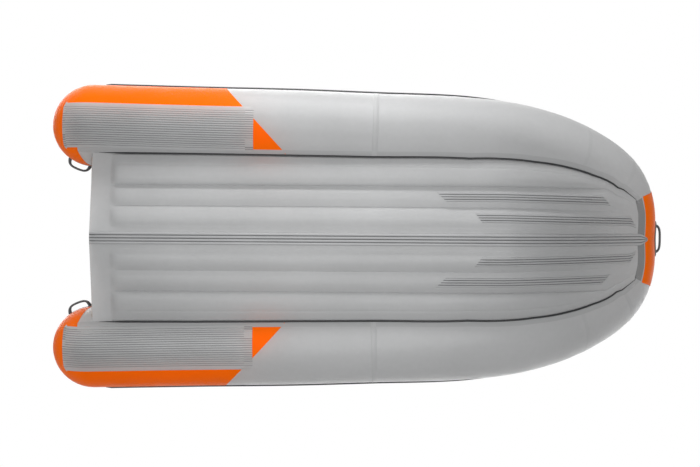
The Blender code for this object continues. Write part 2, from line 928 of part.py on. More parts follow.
def floor_stations():
    """Every section of the floor from the transom's apron to the nose."""
    wall = world_x(floor_wall_station)
    wall_ring = ring_at(floor_wall_station + wall_step)
    last = len(seam_angles) - 1
    sections = [
        FloorStation(ring_at(floor_start), world_x(floor_start), swell=0, apron=True),
        FloorStation(wall_ring, wall, swell=0, apron=True, leaning=True),
        FloorStation(wall_ring, wall + wall_step, swell=0, leaning=True),
        FloorStation(ring_at(hem_station), swell=0),
        FloorStation(ring_at(chamber_station)),
    ]
    sections += [FloorStation(ring) for ring in range(1, last)]
    sections.append(FloorStation(last, front=True))
    return sections


def cavity_stations(outside):
    """Sections of the air room, which ends where the skins close in under the bow tube."""
    wall = world_x(floor_wall_station) + wall_step + floor_skin
    sections = [
        CavityStation(ring_at(floor_wall_station + wall_step), outside, wall),
        CavityStation(ring_at(hem_station), outside),
        CavityStation(ring_at(chamber_station), outside),
    ]
    return sections + [CavityStation(ring, outside) for ring in range(1, cavity_last_ring + 1)]


def floor_solid(name, sections, low_row):
    """Close the sections into one solid, with strips across the front over the low row."""
    rings = [section.ring() for section in sections]
    verts, faces = loft(rings)
    faces = faces[:-1]
    count = len(rings[0])
    start = count * (len(rings) - 1)
    below = len(sections[0].bottom)
    side = len(sections[0].sides)

    def pair(i):
        return start + i, start + count - 1 - i

    low, high = below + low_row, below + side - 2
    port = [start + i for i in range(low + 1)]
    starboard = [start + count - 1 - i for i in range(low + 1)]
    faces.append(port + list(reversed(starboard)))
    for i in range(low, high):
        a, b = pair(i)
        c, d = pair(i + 1)
        faces.append([a, c, d, b])
    port = [start + i for i in range(high, count // 2)]
    starboard = [start + count - 1 - i for i in range(high, count // 2)]
    faces.append(port + list(reversed(starboard)))
    faces = split_facets(faces, lambda face: face[0] % count >= count // 2)
    return add_object(name, verts, faces, grey_fabric)


def air_floor():
    outside = floor_stations()
    inside = cavity_stations(outside)
    floor = floor_solid("air_floor", outside, 1)
    cavity = floor_solid("cavity", inside, 0)
    boolean(floor, [cavity], "DIFFERENCE")
    deck_height = outside[5].deck[0].z
    frame = valve_frame(Vector((world_x(floor_valve_station), 0, deck_height)),
                        Vector((0, 0, 1)), Vector((-1, 0, 0)))
    boolean(floor, [valve_hole_cutter(frame)], "DIFFERENCE")
    return outside, inside, frame


def floor_webs(inside):
    """Six fabric webs that tie the deck to the bottom along the creases."""
    sections = inside[2:web_last_ring + 3]
    names = ("inner", "middle", "outer")
    half = web_thickness / 2
    for index in range(3):
        low = [section.bottom[1 + 3 * index] for section in sections]
        high = [section.deck[1 + 2 * index] for section in sections]
        for side, word in ((1, "port"), (-1, "starboard")):
            grids = []
            foot, head = 2 * seat_gap + half, -2 * seat_gap - half / 2
            for shift in (-half, half):
                grids.append([[Vector((p.x, side * p.y + shift, p.z + rise)) for p in line]
                              for line, rise in ((low, foot), (high, head))])
            verts, faces = slab(*grids)
            add_object(f"{word}_{names[index]}_web", verts, faces, web_fabric)


# Keel guard and strakes

def ribbed_profile(width, thickness, ribs):
    """Half-section of a strip with grooves along its outer face: (across, depth) points."""
    pitch = width / ribs
    groove = pitch * groove_share
    points = [(-width / 2, 0)]
    edge = groove * edge_groove_share
    for i in range(ribs):
        left = -width / 2 + i * pitch + (groove / 2 if i else edge)
        right = -width / 2 + (i + 1) * pitch - (groove / 2 if i < ribs - 1 else edge)
        if i:
            points.append((-width / 2 + i * pitch, thickness - groove_depth))
        points += [(left, thickness), (right, thickness)]
    points.append((width / 2, 0))
    return points


def keel_guard(outside):
    """Ribbed rubber strip along the keel and up over the nose."""
    line = [(section.edge.x, section.keel) for section in outside[3:]]
    line[0] = (world_x(floor_start), keel_height)
    line[1] = (world_x(keel_rise_station), keel_height)
    line = [line[0]] + [p for p in line[1:] if p[0] >= world_x(keel_rise_station)]
    widths = [1.0] * len(line)
    lift = over_panel_lift - seat_gap
    for angle, share in zip(guard_tip_angles, guard_tip_shares):
        point = round_point(nose_ring, angle, lift)
        line.append((point.x, point.z))
        widths.append(share)
    profile = ribbed_profile(guard_width, guard_thickness, guard_ribs)
    rings = []
    for i, (x, z) in enumerate(line):
        before, after = line[max(i - 1, 0)], line[min(i + 1, len(line) - 1)]
        along = Vector((after[0] - before[0], 0, after[1] - before[1])).normalized()
        if i == 1:
            along = Vector((1, 0, 0))
        down = Vector((along.z, 0, -along.x))
        ring = []
        for across, depth in profile:
            ring.append(Vector((x, across * widths[i], z)) + (seat_gap + depth) * down)
        rings.append(ring)
    verts, faces = loft(rings)
    add_object("keel_guard", verts, faces, strake_rubber)


def bow_strake(name, outside, chamber, start, end, lift, side):
    """Ribbed rubber strip on the flat crown of one floor chamber, with ends cut on the skew."""
    profile = ribbed_profile(strake_width, strake_thickness, strake_ribs)
    first = 2 + 3 * chamber
    inner = [section.bottom[first] for section in outside]
    outer = [section.bottom[first + 1] for section in outside]
    margin = strake_skew / 2 + overrun
    rows = [section for section in outside if world_x(start) < section.edge.x - margin
            and section.edge.x + margin < world_x(end)]
    stations = [world_x(start)] + [section.edge.x for section in rows] + [world_x(end)]

    def on_line(line, x):
        for low, high in zip(line, line[1:]):
            if low.x <= x <= high.x:
                return low.lerp(high, (x - low.x) / (high.x - low.x))
        return line[-1]

    rings = []
    for i, station in enumerate(stations):
        skew = strake_skew if i in (0, len(stations) - 1) else 0.0
        ring = []
        for across, depth in profile:
            x = station - skew * across / strake_width
            a, b = on_line(inner, x), on_line(outer, x)
            place = (a + b) / 2 + across * (b - a) / (b.y - a.y)
            before, after = on_line(inner, x - strake_skew), on_line(inner, x + strake_skew)
            along = (after - before).normalized()
            cross = (b - a).normalized()
            down = cross.cross(along)
            if down.z > 0:
                down = -down
            place = place + (lift + depth) * down
            ring.append(Vector((place.x, side * place.y, place.z)))
        rings.append(ring)
    verts, faces = loft(rings)
    add_object(name, verts, faces, strake_rubber)


# Panels, patches and the rub strake

def wear_patch(name, side):
    """Thick pad under the stern half of a side tube."""
    angles = facet_angles(patch_outer_angle, patch_inner_angle)
    rings = broken_rings(-cap_rings * patch_aft_angle / 90, ring_at(patch_end_station))
    grids = []
    for lift in (over_panel_lift, over_panel_lift + patch_thickness):
        grid = []
        for ring in rings:
            row = []
            for angle in angles:
                end = ring
                if ring == rings[-1] and angle in (angles[0], angles[-1]):
                    end = ring_at(patch_end_station - patch_corner)
                row.append(skin_point(end, angle, lift, side))
            grid.append(row)
        grids.append(grid)
    verts, faces = slab(*grids)
    add_object(name, verts, faces, wear_rubber)


def stern_panel(name, side):
    """Orange skin over the stern end and the outer side, cut off on a slant at the front."""
    columns = sorted(set(ring_angles(-180) + [panel_inner_angle]))
    rings = list(range(-cap_rings, 2))
    wide_rows = cap_rings // 2
    grids = []
    for lift in (seat_gap, seat_gap + panel_thickness):
        grid = [[skin_point(ring, a, lift, side) for a in columns] for ring in rings]
        front = []
        for a in columns:
            slant = panel_front_slope * tube_radius * math.sin(math.radians(a))
            front.append(skin_point(ring_at(panel_front_station + slant), a, lift, side))
        grids.append(grid + [front])
    cells = set()
    for i in range(len(rings)):
        for j, angle in enumerate(columns):
            inner = panel_inner_angle - 1e-6 < angle < panel_top_angle - 1e-6
            last_row = cap_rings if angle < panel_holder_angle - 1e-6 else cap_rings - 1
            over_gusset = angle > panel_gusset_angle - 1e-6 and i < last_row
            if i < wide_rows or over_gusset or not inner:
                cells.add((i, j))
    verts, faces = slab(*grids, cells=cells, wraps=True)
    verts, faces = merged(verts, faces)
    add_object(name, verts, faces, orange_fabric)


def nose_patch():
    """Orange patch over the front of the nose."""
    angles = facet_angles(nose_patch_top_angle, nose_patch_angle)
    half = [nose_ring - 1 - nose_patch_reach_share, nose_ring - 1, nose_ring]
    grids = []
    for lift in (nose_gap, nose_gap + panel_thickness):
        port = [[skin_point(ring, a, lift) for a in angles] for ring in half]
        starboard = [mirrored(row) for row in reversed(port[:-1])]
        grids.append(port + starboard)
    verts, faces = slab(*grids)
    add_object("bow_patch", verts, faces, orange_fabric)


def rub_strake():
    """Black rubber bead round the whole hull, a little over the tubes' widest line at the bow."""
    rings = broken_rings(ring_at(rub_start), joint_ring)
    rings += list(range(joint_ring + 1, nose_ring + 1))
    half = math.degrees(rub_half_width / tube_radius)
    shape = ((-1, 0), (-1, rub_edge_height), (-rub_crown_share, rub_height),
             (rub_crown_share, rub_height), (1, rub_edge_height), (1, 0))
    port = []
    for ring in rings:
        share = max(0, (ring - joint_ring) / (nose_ring - joint_ring))
        centre = rub_angle + (rub_bow_angle - rub_angle) * min(1, share / rub_climb_share)
        row = []
        for across, height in shape:
            angle = centre + across * half
            lift = over_nose_lift if ring > joint_ring else over_panel_lift
            opened = (tube_radius + lift) / math.cos(math.radians(half)) - tube_radius
            row.append(round_point(ring, angle, opened + height))
        port.append(row)
    starboard = [mirrored(row) for row in reversed(port[:-1])]
    verts, faces = loft(port + starboard)
    add_object("rub_strake", verts, faces, black_rubber)


# Transom

def transom_face(depth):
    """X of a point on the raked board at height z, at a depth forward of its aft face."""
    front = world_x(floor_wall_station) - seat_gap
    return lambda z: front - transom_thickness + depth - z * lean


def raked_slab(name, outline, back, front, material):
    """Extrude a (y, z) outline through the raked board's thickness direction."""
    rings = []
    for depth in (back, front):
        place = transom_face(depth)
        rings.append([Vector((place(z), y, z)) for y, z in outline])
    verts, faces = loft(rings)
    return add_object(name, verts, faces, material)


def board_frame(y, z, depth):
    """Local axes on the board: Z aft out of the board, X up along it."""
    rake = math.radians(transom_rake)
    aft = Vector((-math.cos(rake), 0, -math.sin(rake)))
    up = Vector((-math.sin(rake), 0, math.cos(rake)))
    return valve_frame(Vector((transom_face(depth)(z), y, z)), aft, up)


def transom(outside):
    """Plywood board, its side holders, the two clamp pads, the drain and the towing eyes."""
    bed = outside[0]
    side_lift = seat_gap + holder_web + seat_gap
    ring = ring_at(floor_wall_station)
    start = skin_point(ring, holder_start_angle - facet_angle, side_lift)
    half = [Vector((0, point.y, point.z + seat_gap)) for point in bed.deck if point.y < start.y]
    half.append(Vector((0, start.y, bed.base_height(start.y) + apron_thickness + seat_gap)))
    for angle in facet_angles(holder_start_angle - facet_angle / 2, holder_end_angle):
        half.append(skin_point(ring, angle, side_lift))
    half.append(Vector((0, transom_shoulder_half_width, transom_shoulder_height)))
    half.append(Vector((0, transom_flat_half_width, transom_height)))
    outline = [(p.y, p.z) for p in half] + [(-p.y, p.z) for p in reversed(half)]
    board = raked_slab("transom_board", outline, 0, transom_thickness, plywood)

    ahead = transom_thickness + seat_gap
    channel = ((-holder_lip - seat_gap, 0), (ahead + holder_lip, 0),
               (ahead + holder_lip, holder_depth), (ahead, holder_depth), (ahead, holder_web),
               (-seat_gap, holder_web), (-seat_gap, holder_depth),
               (-holder_lip - seat_gap, holder_depth))
    for word, side in (("port", 1), ("starboard", -1)):
        rings = []
        for angle in facet_angles(holder_start_angle, holder_end_angle):
            ring = []
            for depth, lift in channel:
                height = skin_point(0, angle, seat_gap + lift, side).z
                x = transom_face(depth)(height)
                point = skin_point(ring_at(x + overall_length / 2), angle, seat_gap + lift, side)
                ring.append(Vector((x, point.y, point.z)))
            rings.append(ring)
        verts, faces = loft(rings)
        add_object(word + "_transom_holder", verts, faces, grey_plastic)

    wide, tall, thick = outer_pad_size
    outline = [(y, z + pad_centre_height) for y, z in rounded(wide / 2, tall / 2, pad_corner)]
    raked_slab("outer_motor_pad", outline, -seat_gap - thick, -seat_gap, black_plastic)
    wide, tall, thick = inner_pad_size
    outline = [(y, z + pad_centre_height) for y, z in rounded(wide / 2, tall / 2, pad_corner)]
    raked_slab("inner_motor_pad", outline, ahead, ahead + thick, black_plastic)

    frame = board_frame(0, drain_height, 0)
    through = -transom_thickness / math.cos(math.radians(transom_rake))
    hole = drain_barrel + seat_gap * 2
    cutter = turned("hole", [(hole, through - overrun), (hole, overrun)], black_plastic, frame)
    cutter.hide_render = True
    cutter.display_type = "WIRE"
    boolean(board, [cutter], "DIFFERENCE")
    flange_top = seat_gap + drain_flange_thickness
    profile = [(drain_barrel, seat_gap), (drain_flange, seat_gap), (drain_flange, flange_top),
               (drain_bore, flange_top), (drain_bore, through - drain_flange_thickness),
               (drain_barrel, through - drain_flange_thickness)]
    turned("drain_body", profile, black_plastic, frame, ring=True)
    hinge = frame @ Matrix.Translation((drain_flange - drain_hinge_radius, 0,
                                        flange_top + seat_gap + drain_hinge_radius))
    low = -drain_hinge_radius
    outline = []
    for i in range(small_sides):
        turn = 2 * math.pi * i / small_sides
        outline.append((-drain_flap_radius + drain_flap_radius * math.cos(turn),
                        drain_flap_radius * math.sin(turn)))
    flap = prism("drain_flap", outline, low, low + drain_flap_thickness, black_rubber, hinge)
    pin_frame = hinge @ Matrix.Rotation(math.pi / 2, 4, "X")
    half_pin = drain_flap_radius * drain_pin_share
    pin = turned("pin", [(drain_hinge_radius, -half_pin), (drain_hinge_radius, half_pin)],
                 black_rubber, pin_frame)
    boolean(flap, [pin], "UNION")

    for word, side in (("port", 1), ("starboard", -1)):
        frame = board_frame(side * eye_across, eye_height, 0)
        wide, tall, thick = eye_plate_size
        outline = rounded(tall / 2, wide / 2, eye_plate_corner)
        plate = prism(word + "_towing_eye", outline, seat_gap, seat_gap + thick, stainless, frame)
        foot = seat_gap + thick / 2
        route = []
        for i in range(loop_steps + 1):
            turn = math.pi * i / loop_steps
            stand = foot + eye_reach * math.sin(turn) ** eye_loop_power
            route.append(frame @ Vector((eye_span / 2 * math.cos(turn), 0, stand)))
        normal = (frame.to_3x3() @ Vector((0, 1, 0))).normalized()
        loop = pipe("loop", route, eye_wire, stainless, sides=8, across=normal)
        boolean(plate, [loop], "UNION")


# Handles

def handles():
    """Moulded rubber grab handles on the nose and on the two stern ends."""
    angles = (-90 - facet_angle, -90, -90 + facet_angle)
    end_ring = nose_ring - bow_pad_half_width / skin_point(nose_ring - 1, -90).y
    grids = []
    for lift in (over_nose_lift, over_nose_lift + handle_pad_thickness):
        port = [[skin_point(ring, a, lift) for a in angles] for ring in (end_ring, nose_ring)]
        grids.append(port + [mirrored(port[0])])
    verts, faces = slab(*grids)
    pad = add_object("bow_handle", verts, faces, handle_rubber)
    foot = skin_point(nose_ring, -90, over_nose_lift + handle_bar_radius)
    reach = world_x(overall_length) - handle_bar_radius - foot.x
    ends = [foot + Vector((0, y, 0)) for y in (-bow_handle_span / 2, bow_handle_span / 2)]
    route = handle_route(ends[0], ends[1], Vector((1, 0, 0)), reach)
    loop = pipe("loop", route, handle_bar_radius, handle_rubber)
    boolean(pad, [loop], "UNION")

    for word, side in (("port", 1), ("starboard", -1)):
        rings = broken_rings(ring_at(stern_handle_stations[0]), ring_at(stern_handle_stations[1]))
        columns = facet_angles(*stern_handle_angles)
        lifts = (over_panel_lift, over_panel_lift + handle_pad_thickness)
        grids = [[[skin_point(ring, a, lift, side) for a in columns] for ring in rings]
                 for lift in lifts]
        verts, faces = slab(*grids)
        pad = add_object(word + "_stern_handle", verts, faces, handle_rubber)
        middle = sum(stern_handle_angles) / 2
        margin = stern_handle_margin_share * (rings[-1] - rings[0])
        ends = [skin_point(ring, middle, over_panel_lift + handle_bar_radius, side)
                for ring in (rings[0] + margin, rings[-1] - margin)]
        chord = (ends[1] - ends[0]).normalized()
        out = (ends[0] + ends[1]) / 2 - Vector((centres[0].x, side * centres[0].y, tube_height))
        out = (out - out.dot(chord) * chord).normalized()
        route = handle_route(ends[0], ends[1], out, stern_handle_reach)
        loop = pipe("loop", route, handle_bar_radius, handle_rubber)
        boolean(pad, [loop], "UNION")


# Bench rails and benches

def long_ring(station):
    """Ring number at a station of the side tube or of the bow tube's first length."""
    if station <= side_tube_length:
        return ring_at(station)
    first = centres[joint_ring + 1].x - centres[joint_ring].x
    return joint_ring + (station - side_tube_length) / first


def rail_line(station):
    """Middle of the rail's foot at a station, on a straight line between the rail's ends."""
    ends = [skin_point(long_ring(end), rail_angle) for end in (rail_start, rail_end)]
    share = (world_x(station) - ends[0].x) / (ends[1].x - ends[0].x)
    return ends[0].lerp(ends[1], share)


def bench_rail(name, side):
    """T-headed rubber rail glued along the inner shoulder of a tube."""
    stations = [rail_start]
    stations += [side_tube_length * share for share in side_station_shares
                 if rail_start < side_tube_length * share < rail_end]
    stations += [rail_end]
    columns = facet_angles(*rail_foot_angles)
    outer = [i for i, angle in enumerate(columns) if angle > rail_angle]
    inner = [i for i, angle in enumerate(columns) if angle < rail_angle]
    rings = []
    head = rail_line(aft_bench_station).z + rail_head_clearance
    for station in stations:
        ring_number = long_ring(station)
        middle = rail_line(station)
        gap = bow_seat_gap if station > side_tube_length else seat_gap
        foot = [skin_point(ring_number, a, gap) for a in columns]
        back = [skin_point(ring_number, a, gap + rail_foot_thickness) for a in columns]
        for point in foot + back:
            point.x = middle.x
        stem_low = skin_point(ring_number, rail_angle, seat_gap + rail_foot_thickness).z
        profile = list(foot)
        profile += [back[i] for i in reversed(outer)]
        profile.append(Vector((middle.x, middle.y + rail_stem / 2, stem_low + rail_stem / 2)))
        profile.append(Vector((middle.x, middle.y + rail_stem / 2, head)))
        profile.append(Vector((middle.x, middle.y + rail_head_width / 2, head)))
        profile.append(Vector((middle.x, middle.y + rail_head_width / 2, head + rail_head_height)))
        profile.append(Vector((middle.x, middle.y - rail_head_width / 2, head + rail_head_height)))
        profile.append(Vector((middle.x, middle.y - rail_head_width / 2, head)))
        profile.append(Vector((middle.x, middle.y - rail_stem / 2, head)))
        profile.append(Vector((middle.x, middle.y - rail_stem / 2, stem_low)))
        profile += [back[i] for i in reversed(inner)]
        if side < 0:
            profile = mirrored(profile)
        rings.append(profile)
    verts, faces = loft(rings)
    add_object(name, verts, faces, black_rubber)
    return head


def bench(prefix, station, head):
    """Plywood bench board on two aluminium channels that slide along the rails."""
    x = world_x(station)
    middle = rail_line(station)
    inside = rail_head_width / 2 + hanger_side_clearance
    slot = rail_stem / 2 + hanger_side_clearance
    outer = inside + hanger_wall
    lip_top = head - hanger_top_clearance
    lip_low = lip_top - hanger_wall
    ceiling = head + rail_head_height + hanger_top_clearance
    top = ceiling + hanger_wall
    channel = ((slot, lip_low), (outer, lip_low), (outer, top), (-outer, top), (-outer, lip_low),
               (-slot, lip_low), (-slot, lip_top), (-inside, lip_top), (-inside, ceiling),
               (inside, ceiling), (inside, lip_top), (slot, lip_top))
    for word, side in (("port", 1), ("starboard", -1)):
        rings = []
        for end in (-hanger_length / 2, hanger_length / 2):
            rings.append([Vector((x + end, side * (middle.y + y), z)) for y, z in channel])
        verts, faces = loft(rings)
        add_object(f"{prefix}_bench_{word}_hanger", verts, faces, anodised)
    half_length = middle.y + outer + bench_overhang
    outline = rounded(bench_width / 2, half_length, bench_corner)
    frame = Matrix.Translation((x, 0, top + seat_gap))
    board = prism(prefix + "_bench", outline, 0, bench_thickness, plywood, frame)
    soften = board.modifiers.new("edges", "BEVEL")
    soften.width = bench_edge
    soften.segments = 1
    soften.limit_method = "ANGLE"
    soften.angle_limit = math.radians(edge_angle)


# Oarlocks

def oarlock(word, side):
    """Rubber base with a socket on top of the tube, and a swivelling horn."""
    ring = ring_at(oarlock_station)
    reach = oarlock_pad_length / 2
    rings = [ring_at(oarlock_station - reach), ring_at(oarlock_station + reach)]
    columns = facet_angles(180 - oarlock_pad_half_angle, 180 + oarlock_pad_half_angle)
    grids = [[[skin_point(r, a, lift, side) for a in columns] for r in rings]
             for lift in (seat_gap, seat_gap + oarlock_pad_thickness)]
    verts, faces = slab(*grids)
    base = add_object(word + "_oarlock_base", verts, faces, handle_rubber)
    crown = skin_point(ring, 180, seat_gap, side)
    boss_frame = Matrix.Translation(crown)
    foot = oarlock_pad_thickness / 2
    top = oarlock_boss_height
    boss = turned("boss", [(oarlock_boss_radius * oarlock_flare_share, foot),
                           (oarlock_boss_radius * oarlock_step_share, oarlock_pad_thickness * 2),
                           (oarlock_boss_radius, top * oarlock_taper_share),
                           (oarlock_boss_radius, top)], handle_rubber, boss_frame)
    boolean(base, [boss], "UNION")
    bore = oarlock_pin + oarlock_running_clearance
    cutter = turned("bore", [(bore, top - oarlock_bore_depth), (bore, top + overrun)],
                    handle_rubber, boss_frame)
    cutter.hide_render = True
    cutter.display_type = "WIRE"
    boolean(base, [cutter], "DIFFERENCE")

    horn_frame = Matrix.Translation(crown + Vector((0, 0, top + seat_gap)))
    pin_end = -oarlock_bore_depth + 2 * overrun
    neck_top = oarlock_collar_height + oarlock_neck_height
    profile = [(0, pin_end), (oarlock_pin, pin_end), (oarlock_pin, 0), (oarlock_collar_radius, 0),
               (oarlock_collar_radius, oarlock_collar_height),
               (oarlock_wire, oarlock_collar_height + overrun), (oarlock_wire, neck_top),
               (0, neck_top)]
    horn = turned(word + "_oarlock_horn", profile, anodised, horn_frame)
    base_height = neck_top + oarlock_throat + oarlock_wire / 2
    route = []
    middle = horn_frame.translation + Vector((0, 0, base_height))
    route.append(middle + Vector((-oarlock_throat + oarlock_tip_open, 0, oarlock_arm)))
    for i in range(loop_steps + 1):
        turn = math.pi + math.pi * i / loop_steps
        route.append(middle + oarlock_throat * Vector((math.cos(turn), 0, math.sin(turn))))
    route.append(middle + Vector((oarlock_throat - oarlock_tip_open, 0, oarlock_arm)))
    fork = pipe("fork", route, oarlock_wire, anodised, across=Vector((0, 1, 0)))
    boolean(horn, [fork], "UNION")


# Assembly

port_frame = side_tube("port_side_tube", 1)
starboard_frame = side_tube("starboard_side_tube", -1)
bow_frame = bow_tube()
baffle("port_baffle", 1)
baffle("starboard_baffle", -1)
outside_sections, inside_sections, floor_frame = air_floor()
floor_webs(inside_sections)
keel_guard(outside_sections)
for side_word, side_sign in (("port", 1), ("starboard", -1)):
    bow_strake(side_word + "_outer_strake", outside_sections, 1,
               side_tube_length + outer_strake_ahead, hull_length - outer_strake_setback,
               outer_strake_lift, side_sign)
    bow_strake(side_word + "_inner_strake", outside_sections, 0,
               side_tube_length + inner_strake_ahead, hull_length - inner_strake_setback,
               inner_strake_lift, side_sign)
    wear_patch(side_word + "_wear_patch", side_sign)
    stern_panel(side_word + "_stern_panel", side_sign)
    oarlock(side_word, side_sign)
    rail_head = bench_rail(side_word + "_bench_rail", side_sign)
nose_patch()
rub_strake()
transom(outside_sections)
handles()
bench("aft", aft_bench_station, rail_head)
bench("fore", fore_bench_station, rail_head)
valve("port", port_frame)
valve("starboard", starboard_frame)
valve("bow", bow_frame)
valve("floor", floor_frame)
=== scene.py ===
import math

import bmesh
import bpy
import json
import numpy as np
from mathutils import Matrix, Vector


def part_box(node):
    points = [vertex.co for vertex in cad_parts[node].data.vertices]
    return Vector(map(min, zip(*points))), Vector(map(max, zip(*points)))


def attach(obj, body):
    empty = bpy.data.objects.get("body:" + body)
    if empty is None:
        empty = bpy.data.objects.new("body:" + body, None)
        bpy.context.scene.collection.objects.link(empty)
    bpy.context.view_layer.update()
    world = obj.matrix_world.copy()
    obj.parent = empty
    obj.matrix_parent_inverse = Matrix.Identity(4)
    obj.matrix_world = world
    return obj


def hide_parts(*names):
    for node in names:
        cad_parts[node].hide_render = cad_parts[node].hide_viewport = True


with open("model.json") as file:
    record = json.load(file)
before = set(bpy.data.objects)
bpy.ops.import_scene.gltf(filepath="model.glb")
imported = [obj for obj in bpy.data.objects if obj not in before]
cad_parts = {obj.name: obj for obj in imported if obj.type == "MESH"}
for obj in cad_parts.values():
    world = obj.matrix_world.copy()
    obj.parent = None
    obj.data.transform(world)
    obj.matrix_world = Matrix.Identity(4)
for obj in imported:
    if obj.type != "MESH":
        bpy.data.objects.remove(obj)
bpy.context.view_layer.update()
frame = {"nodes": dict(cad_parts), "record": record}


# ---- Stage: a pale floor, a white surround, a camera under the boat and soft lamps ----
# The photograph looks straight up at the bottom from seven metres, so the floor lets
# light and the camera through from below and still takes the boat's shadow from above.

view_distance = 7.0
view_width = 4.130
view_tilt = math.radians(1.5)
view_roll = math.radians(0.37)
view_target = Vector((-0.079, -0.0265, 0.27))


def add_node(tree, kind, values=None, **settings):
    """A node; settings are its own, values are those of its input sockets."""
    node = tree.nodes.new(kind)
    for key, value in settings.items():
        setattr(node, key, value)
    for key, value in (values or {}).items():
        node.inputs[key].default_value = value
    return node


def feed(socket, target, entry):
    """Joins an output socket to a node's input, given by its name or number."""
    socket.id_data.links.new(socket, target.inputs[entry])


def link(source, result, target, entry):
    feed(source.outputs[result], target, entry)


def maths(operation, *values):
    """A Math node whose inputs are sockets or plain numbers; gives its output."""
    tree = next(value.id_data for value in values if not isinstance(value, (int, float)))
    node = add_node(tree, "ShaderNodeMath", operation=operation)
    for i, value in enumerate(values):
        if isinstance(value, (int, float)):
            node.inputs[i].default_value = value
        else:
            feed(value, node, i)
    return node.outputs[0]


def add_object(name, data):
    made = bpy.data.objects.new(name, data)
    bpy.context.scene.collection.objects.link(made)
    return made


looking = Vector((0, math.sin(view_tilt), math.cos(view_tilt)))
level_right = Vector((1, 0, 0))
level_up = Vector((0, -math.cos(view_tilt), math.sin(view_tilt)))
camera_up = level_up * math.cos(view_roll) - level_right * math.sin(view_roll)
camera_right = level_right * math.cos(view_roll) + level_up * math.sin(view_roll)
camera_data = bpy.data.cameras.new("photo_camera")
camera_data.sensor_width = 36.0
camera_data.lens = 36.0 * view_distance / view_width
camera = add_object("photo_camera", camera_data)
turn = Matrix((camera_right, camera_up, -looking)).transposed().to_4x4()
camera.matrix_world = Matrix.Translation(view_target - looking * view_distance) @ turn
bpy.context.scene.camera = camera
bpy.context.scene.view_settings.view_transform = "Standard"


def new_material(name):
    """An empty node material and its output node."""
    material = bpy.data.materials.new(name)
    material.use_nodes = True
    material.node_tree.nodes.clear()
    return material, add_node(material.node_tree, "ShaderNodeOutputMaterial")


floor_paper, output = new_material("floor_paper")
tree = floor_paper.node_tree
paper = add_node(tree, "ShaderNodeBsdfPrincipled", {"Roughness": 0.8})
grain = add_node(tree, "ShaderNodeTexNoise", {"Scale": 1.5})
tone = add_node(tree, "ShaderNodeValToRGB")
tone.color_ramp.elements[0].color = (0.80, 0.80, 0.80, 1)
tone.color_ramp.elements[1].color = (0.84, 0.84, 0.835, 1)
link(grain, "Fac", tone, "Fac")
link(tone, "Color", paper, "Base Color")
clear = add_node(tree, "ShaderNodeBsdfTransparent")
rays = add_node(tree, "ShaderNodeLightPath")
facing = add_node(tree, "ShaderNodeNewGeometry")
passes = maths("MAXIMUM", rays.outputs["Is Shadow Ray"], facing.outputs["Backfacing"])
mixed = add_node(tree, "ShaderNodeMixShader")
feed(passes, mixed, "Fac")
link(paper, "BSDF", mixed, 1)
link(clear, "BSDF", mixed, 2)
link(mixed, "Shader", output, "Surface")

floor_mesh = bpy.data.meshes.new("floor")
reach = 14.0
floor_mesh.from_pydata([(-reach, -reach, -0.002), (reach, -reach, -0.002),
                        (reach, reach, -0.002), (-reach, reach, -0.002)], [], [(0, 1, 2, 3)])
floor_mesh.materials.append(floor_paper)
floor = add_object("floor", floor_mesh)

world = bpy.data.worlds.new("studio")
bpy.context.scene.world = world
world.use_nodes = True
tree = world.node_tree
tree.nodes.clear()
surround = add_node(tree, "ShaderNodeOutputWorld")
rays = add_node(tree, "ShaderNodeLightPath")
seen = maths("MAXIMUM", rays.outputs["Is Camera Ray"], rays.outputs["Is Glossy Ray"])
seen = maths("MAXIMUM", seen, rays.outputs["Is Transmission Ray"])
ambient = add_node(tree, "ShaderNodeBackground", {"Color": (0.97, 0.98, 1, 1), "Strength": 0.06})
white = add_node(tree, "ShaderNodeBackground", {"Color": (1, 1, 1, 1), "Strength": 1.0})
mixed = add_node(tree, "ShaderNodeMixShader")
feed(seen, mixed, "Fac")
link(ambient, "Background", mixed, 1)
link(white, "Background", mixed, 2)
link(mixed, "Shader", surround, "Surface")


def add_lamp(name, place, strength, width, height):
    """A soft box aimed at the boat; strength 1 lights its middle to its own colour."""
    lamp = bpy.data.lights.new(name, "AREA")
    lamp.shape = "RECTANGLE"
    lamp.size, lamp.size_y = width, height
    aim = Vector(place) - view_target
    lamp.energy = strength * math.pi ** 2 * aim.length_squared
    lamp_object = add_object(name, lamp)
    lamp_object.location = place
    lamp_object.rotation_euler = aim.to_track_quat("Z", "Y").to_euler()
    lamp_object.visible_camera = False


def add_sky_lamp(name, towards_lamp, strength, spread):
    """A far soft lamp for the views from above, even over the whole floor."""
    lamp = bpy.data.lights.new(name, "SUN")
    lamp.energy = strength * math.pi
    lamp.angle = math.radians(spread)
    aim = Vector(towards_lamp).to_track_quat("Z", "Y")
    add_object(name, lamp).rotation_euler = aim.to_euler()


add_lamp("under_key", (-0.45, -4.50, -0.34), 0.58, 1.6, 0.6)
add_lamp("under_fill", (-0.25, 0.05, -4.20), 0.60, 1.2, 1.2)
add_sky_lamp("upper_key", (-0.30, -0.40, 0.87), 0.60, 50)
add_sky_lamp("upper_fill", (0.40, 0.42, 0.82), 0.26, 60)


# ---- Side tubes and bow tube: the U of inflated chambers ----
# Each chamber is welded from coated cloth, tight as a drum, with a dished bulkhead
# between it and the next. Wedge-shaped panels make the bow turn and climb.

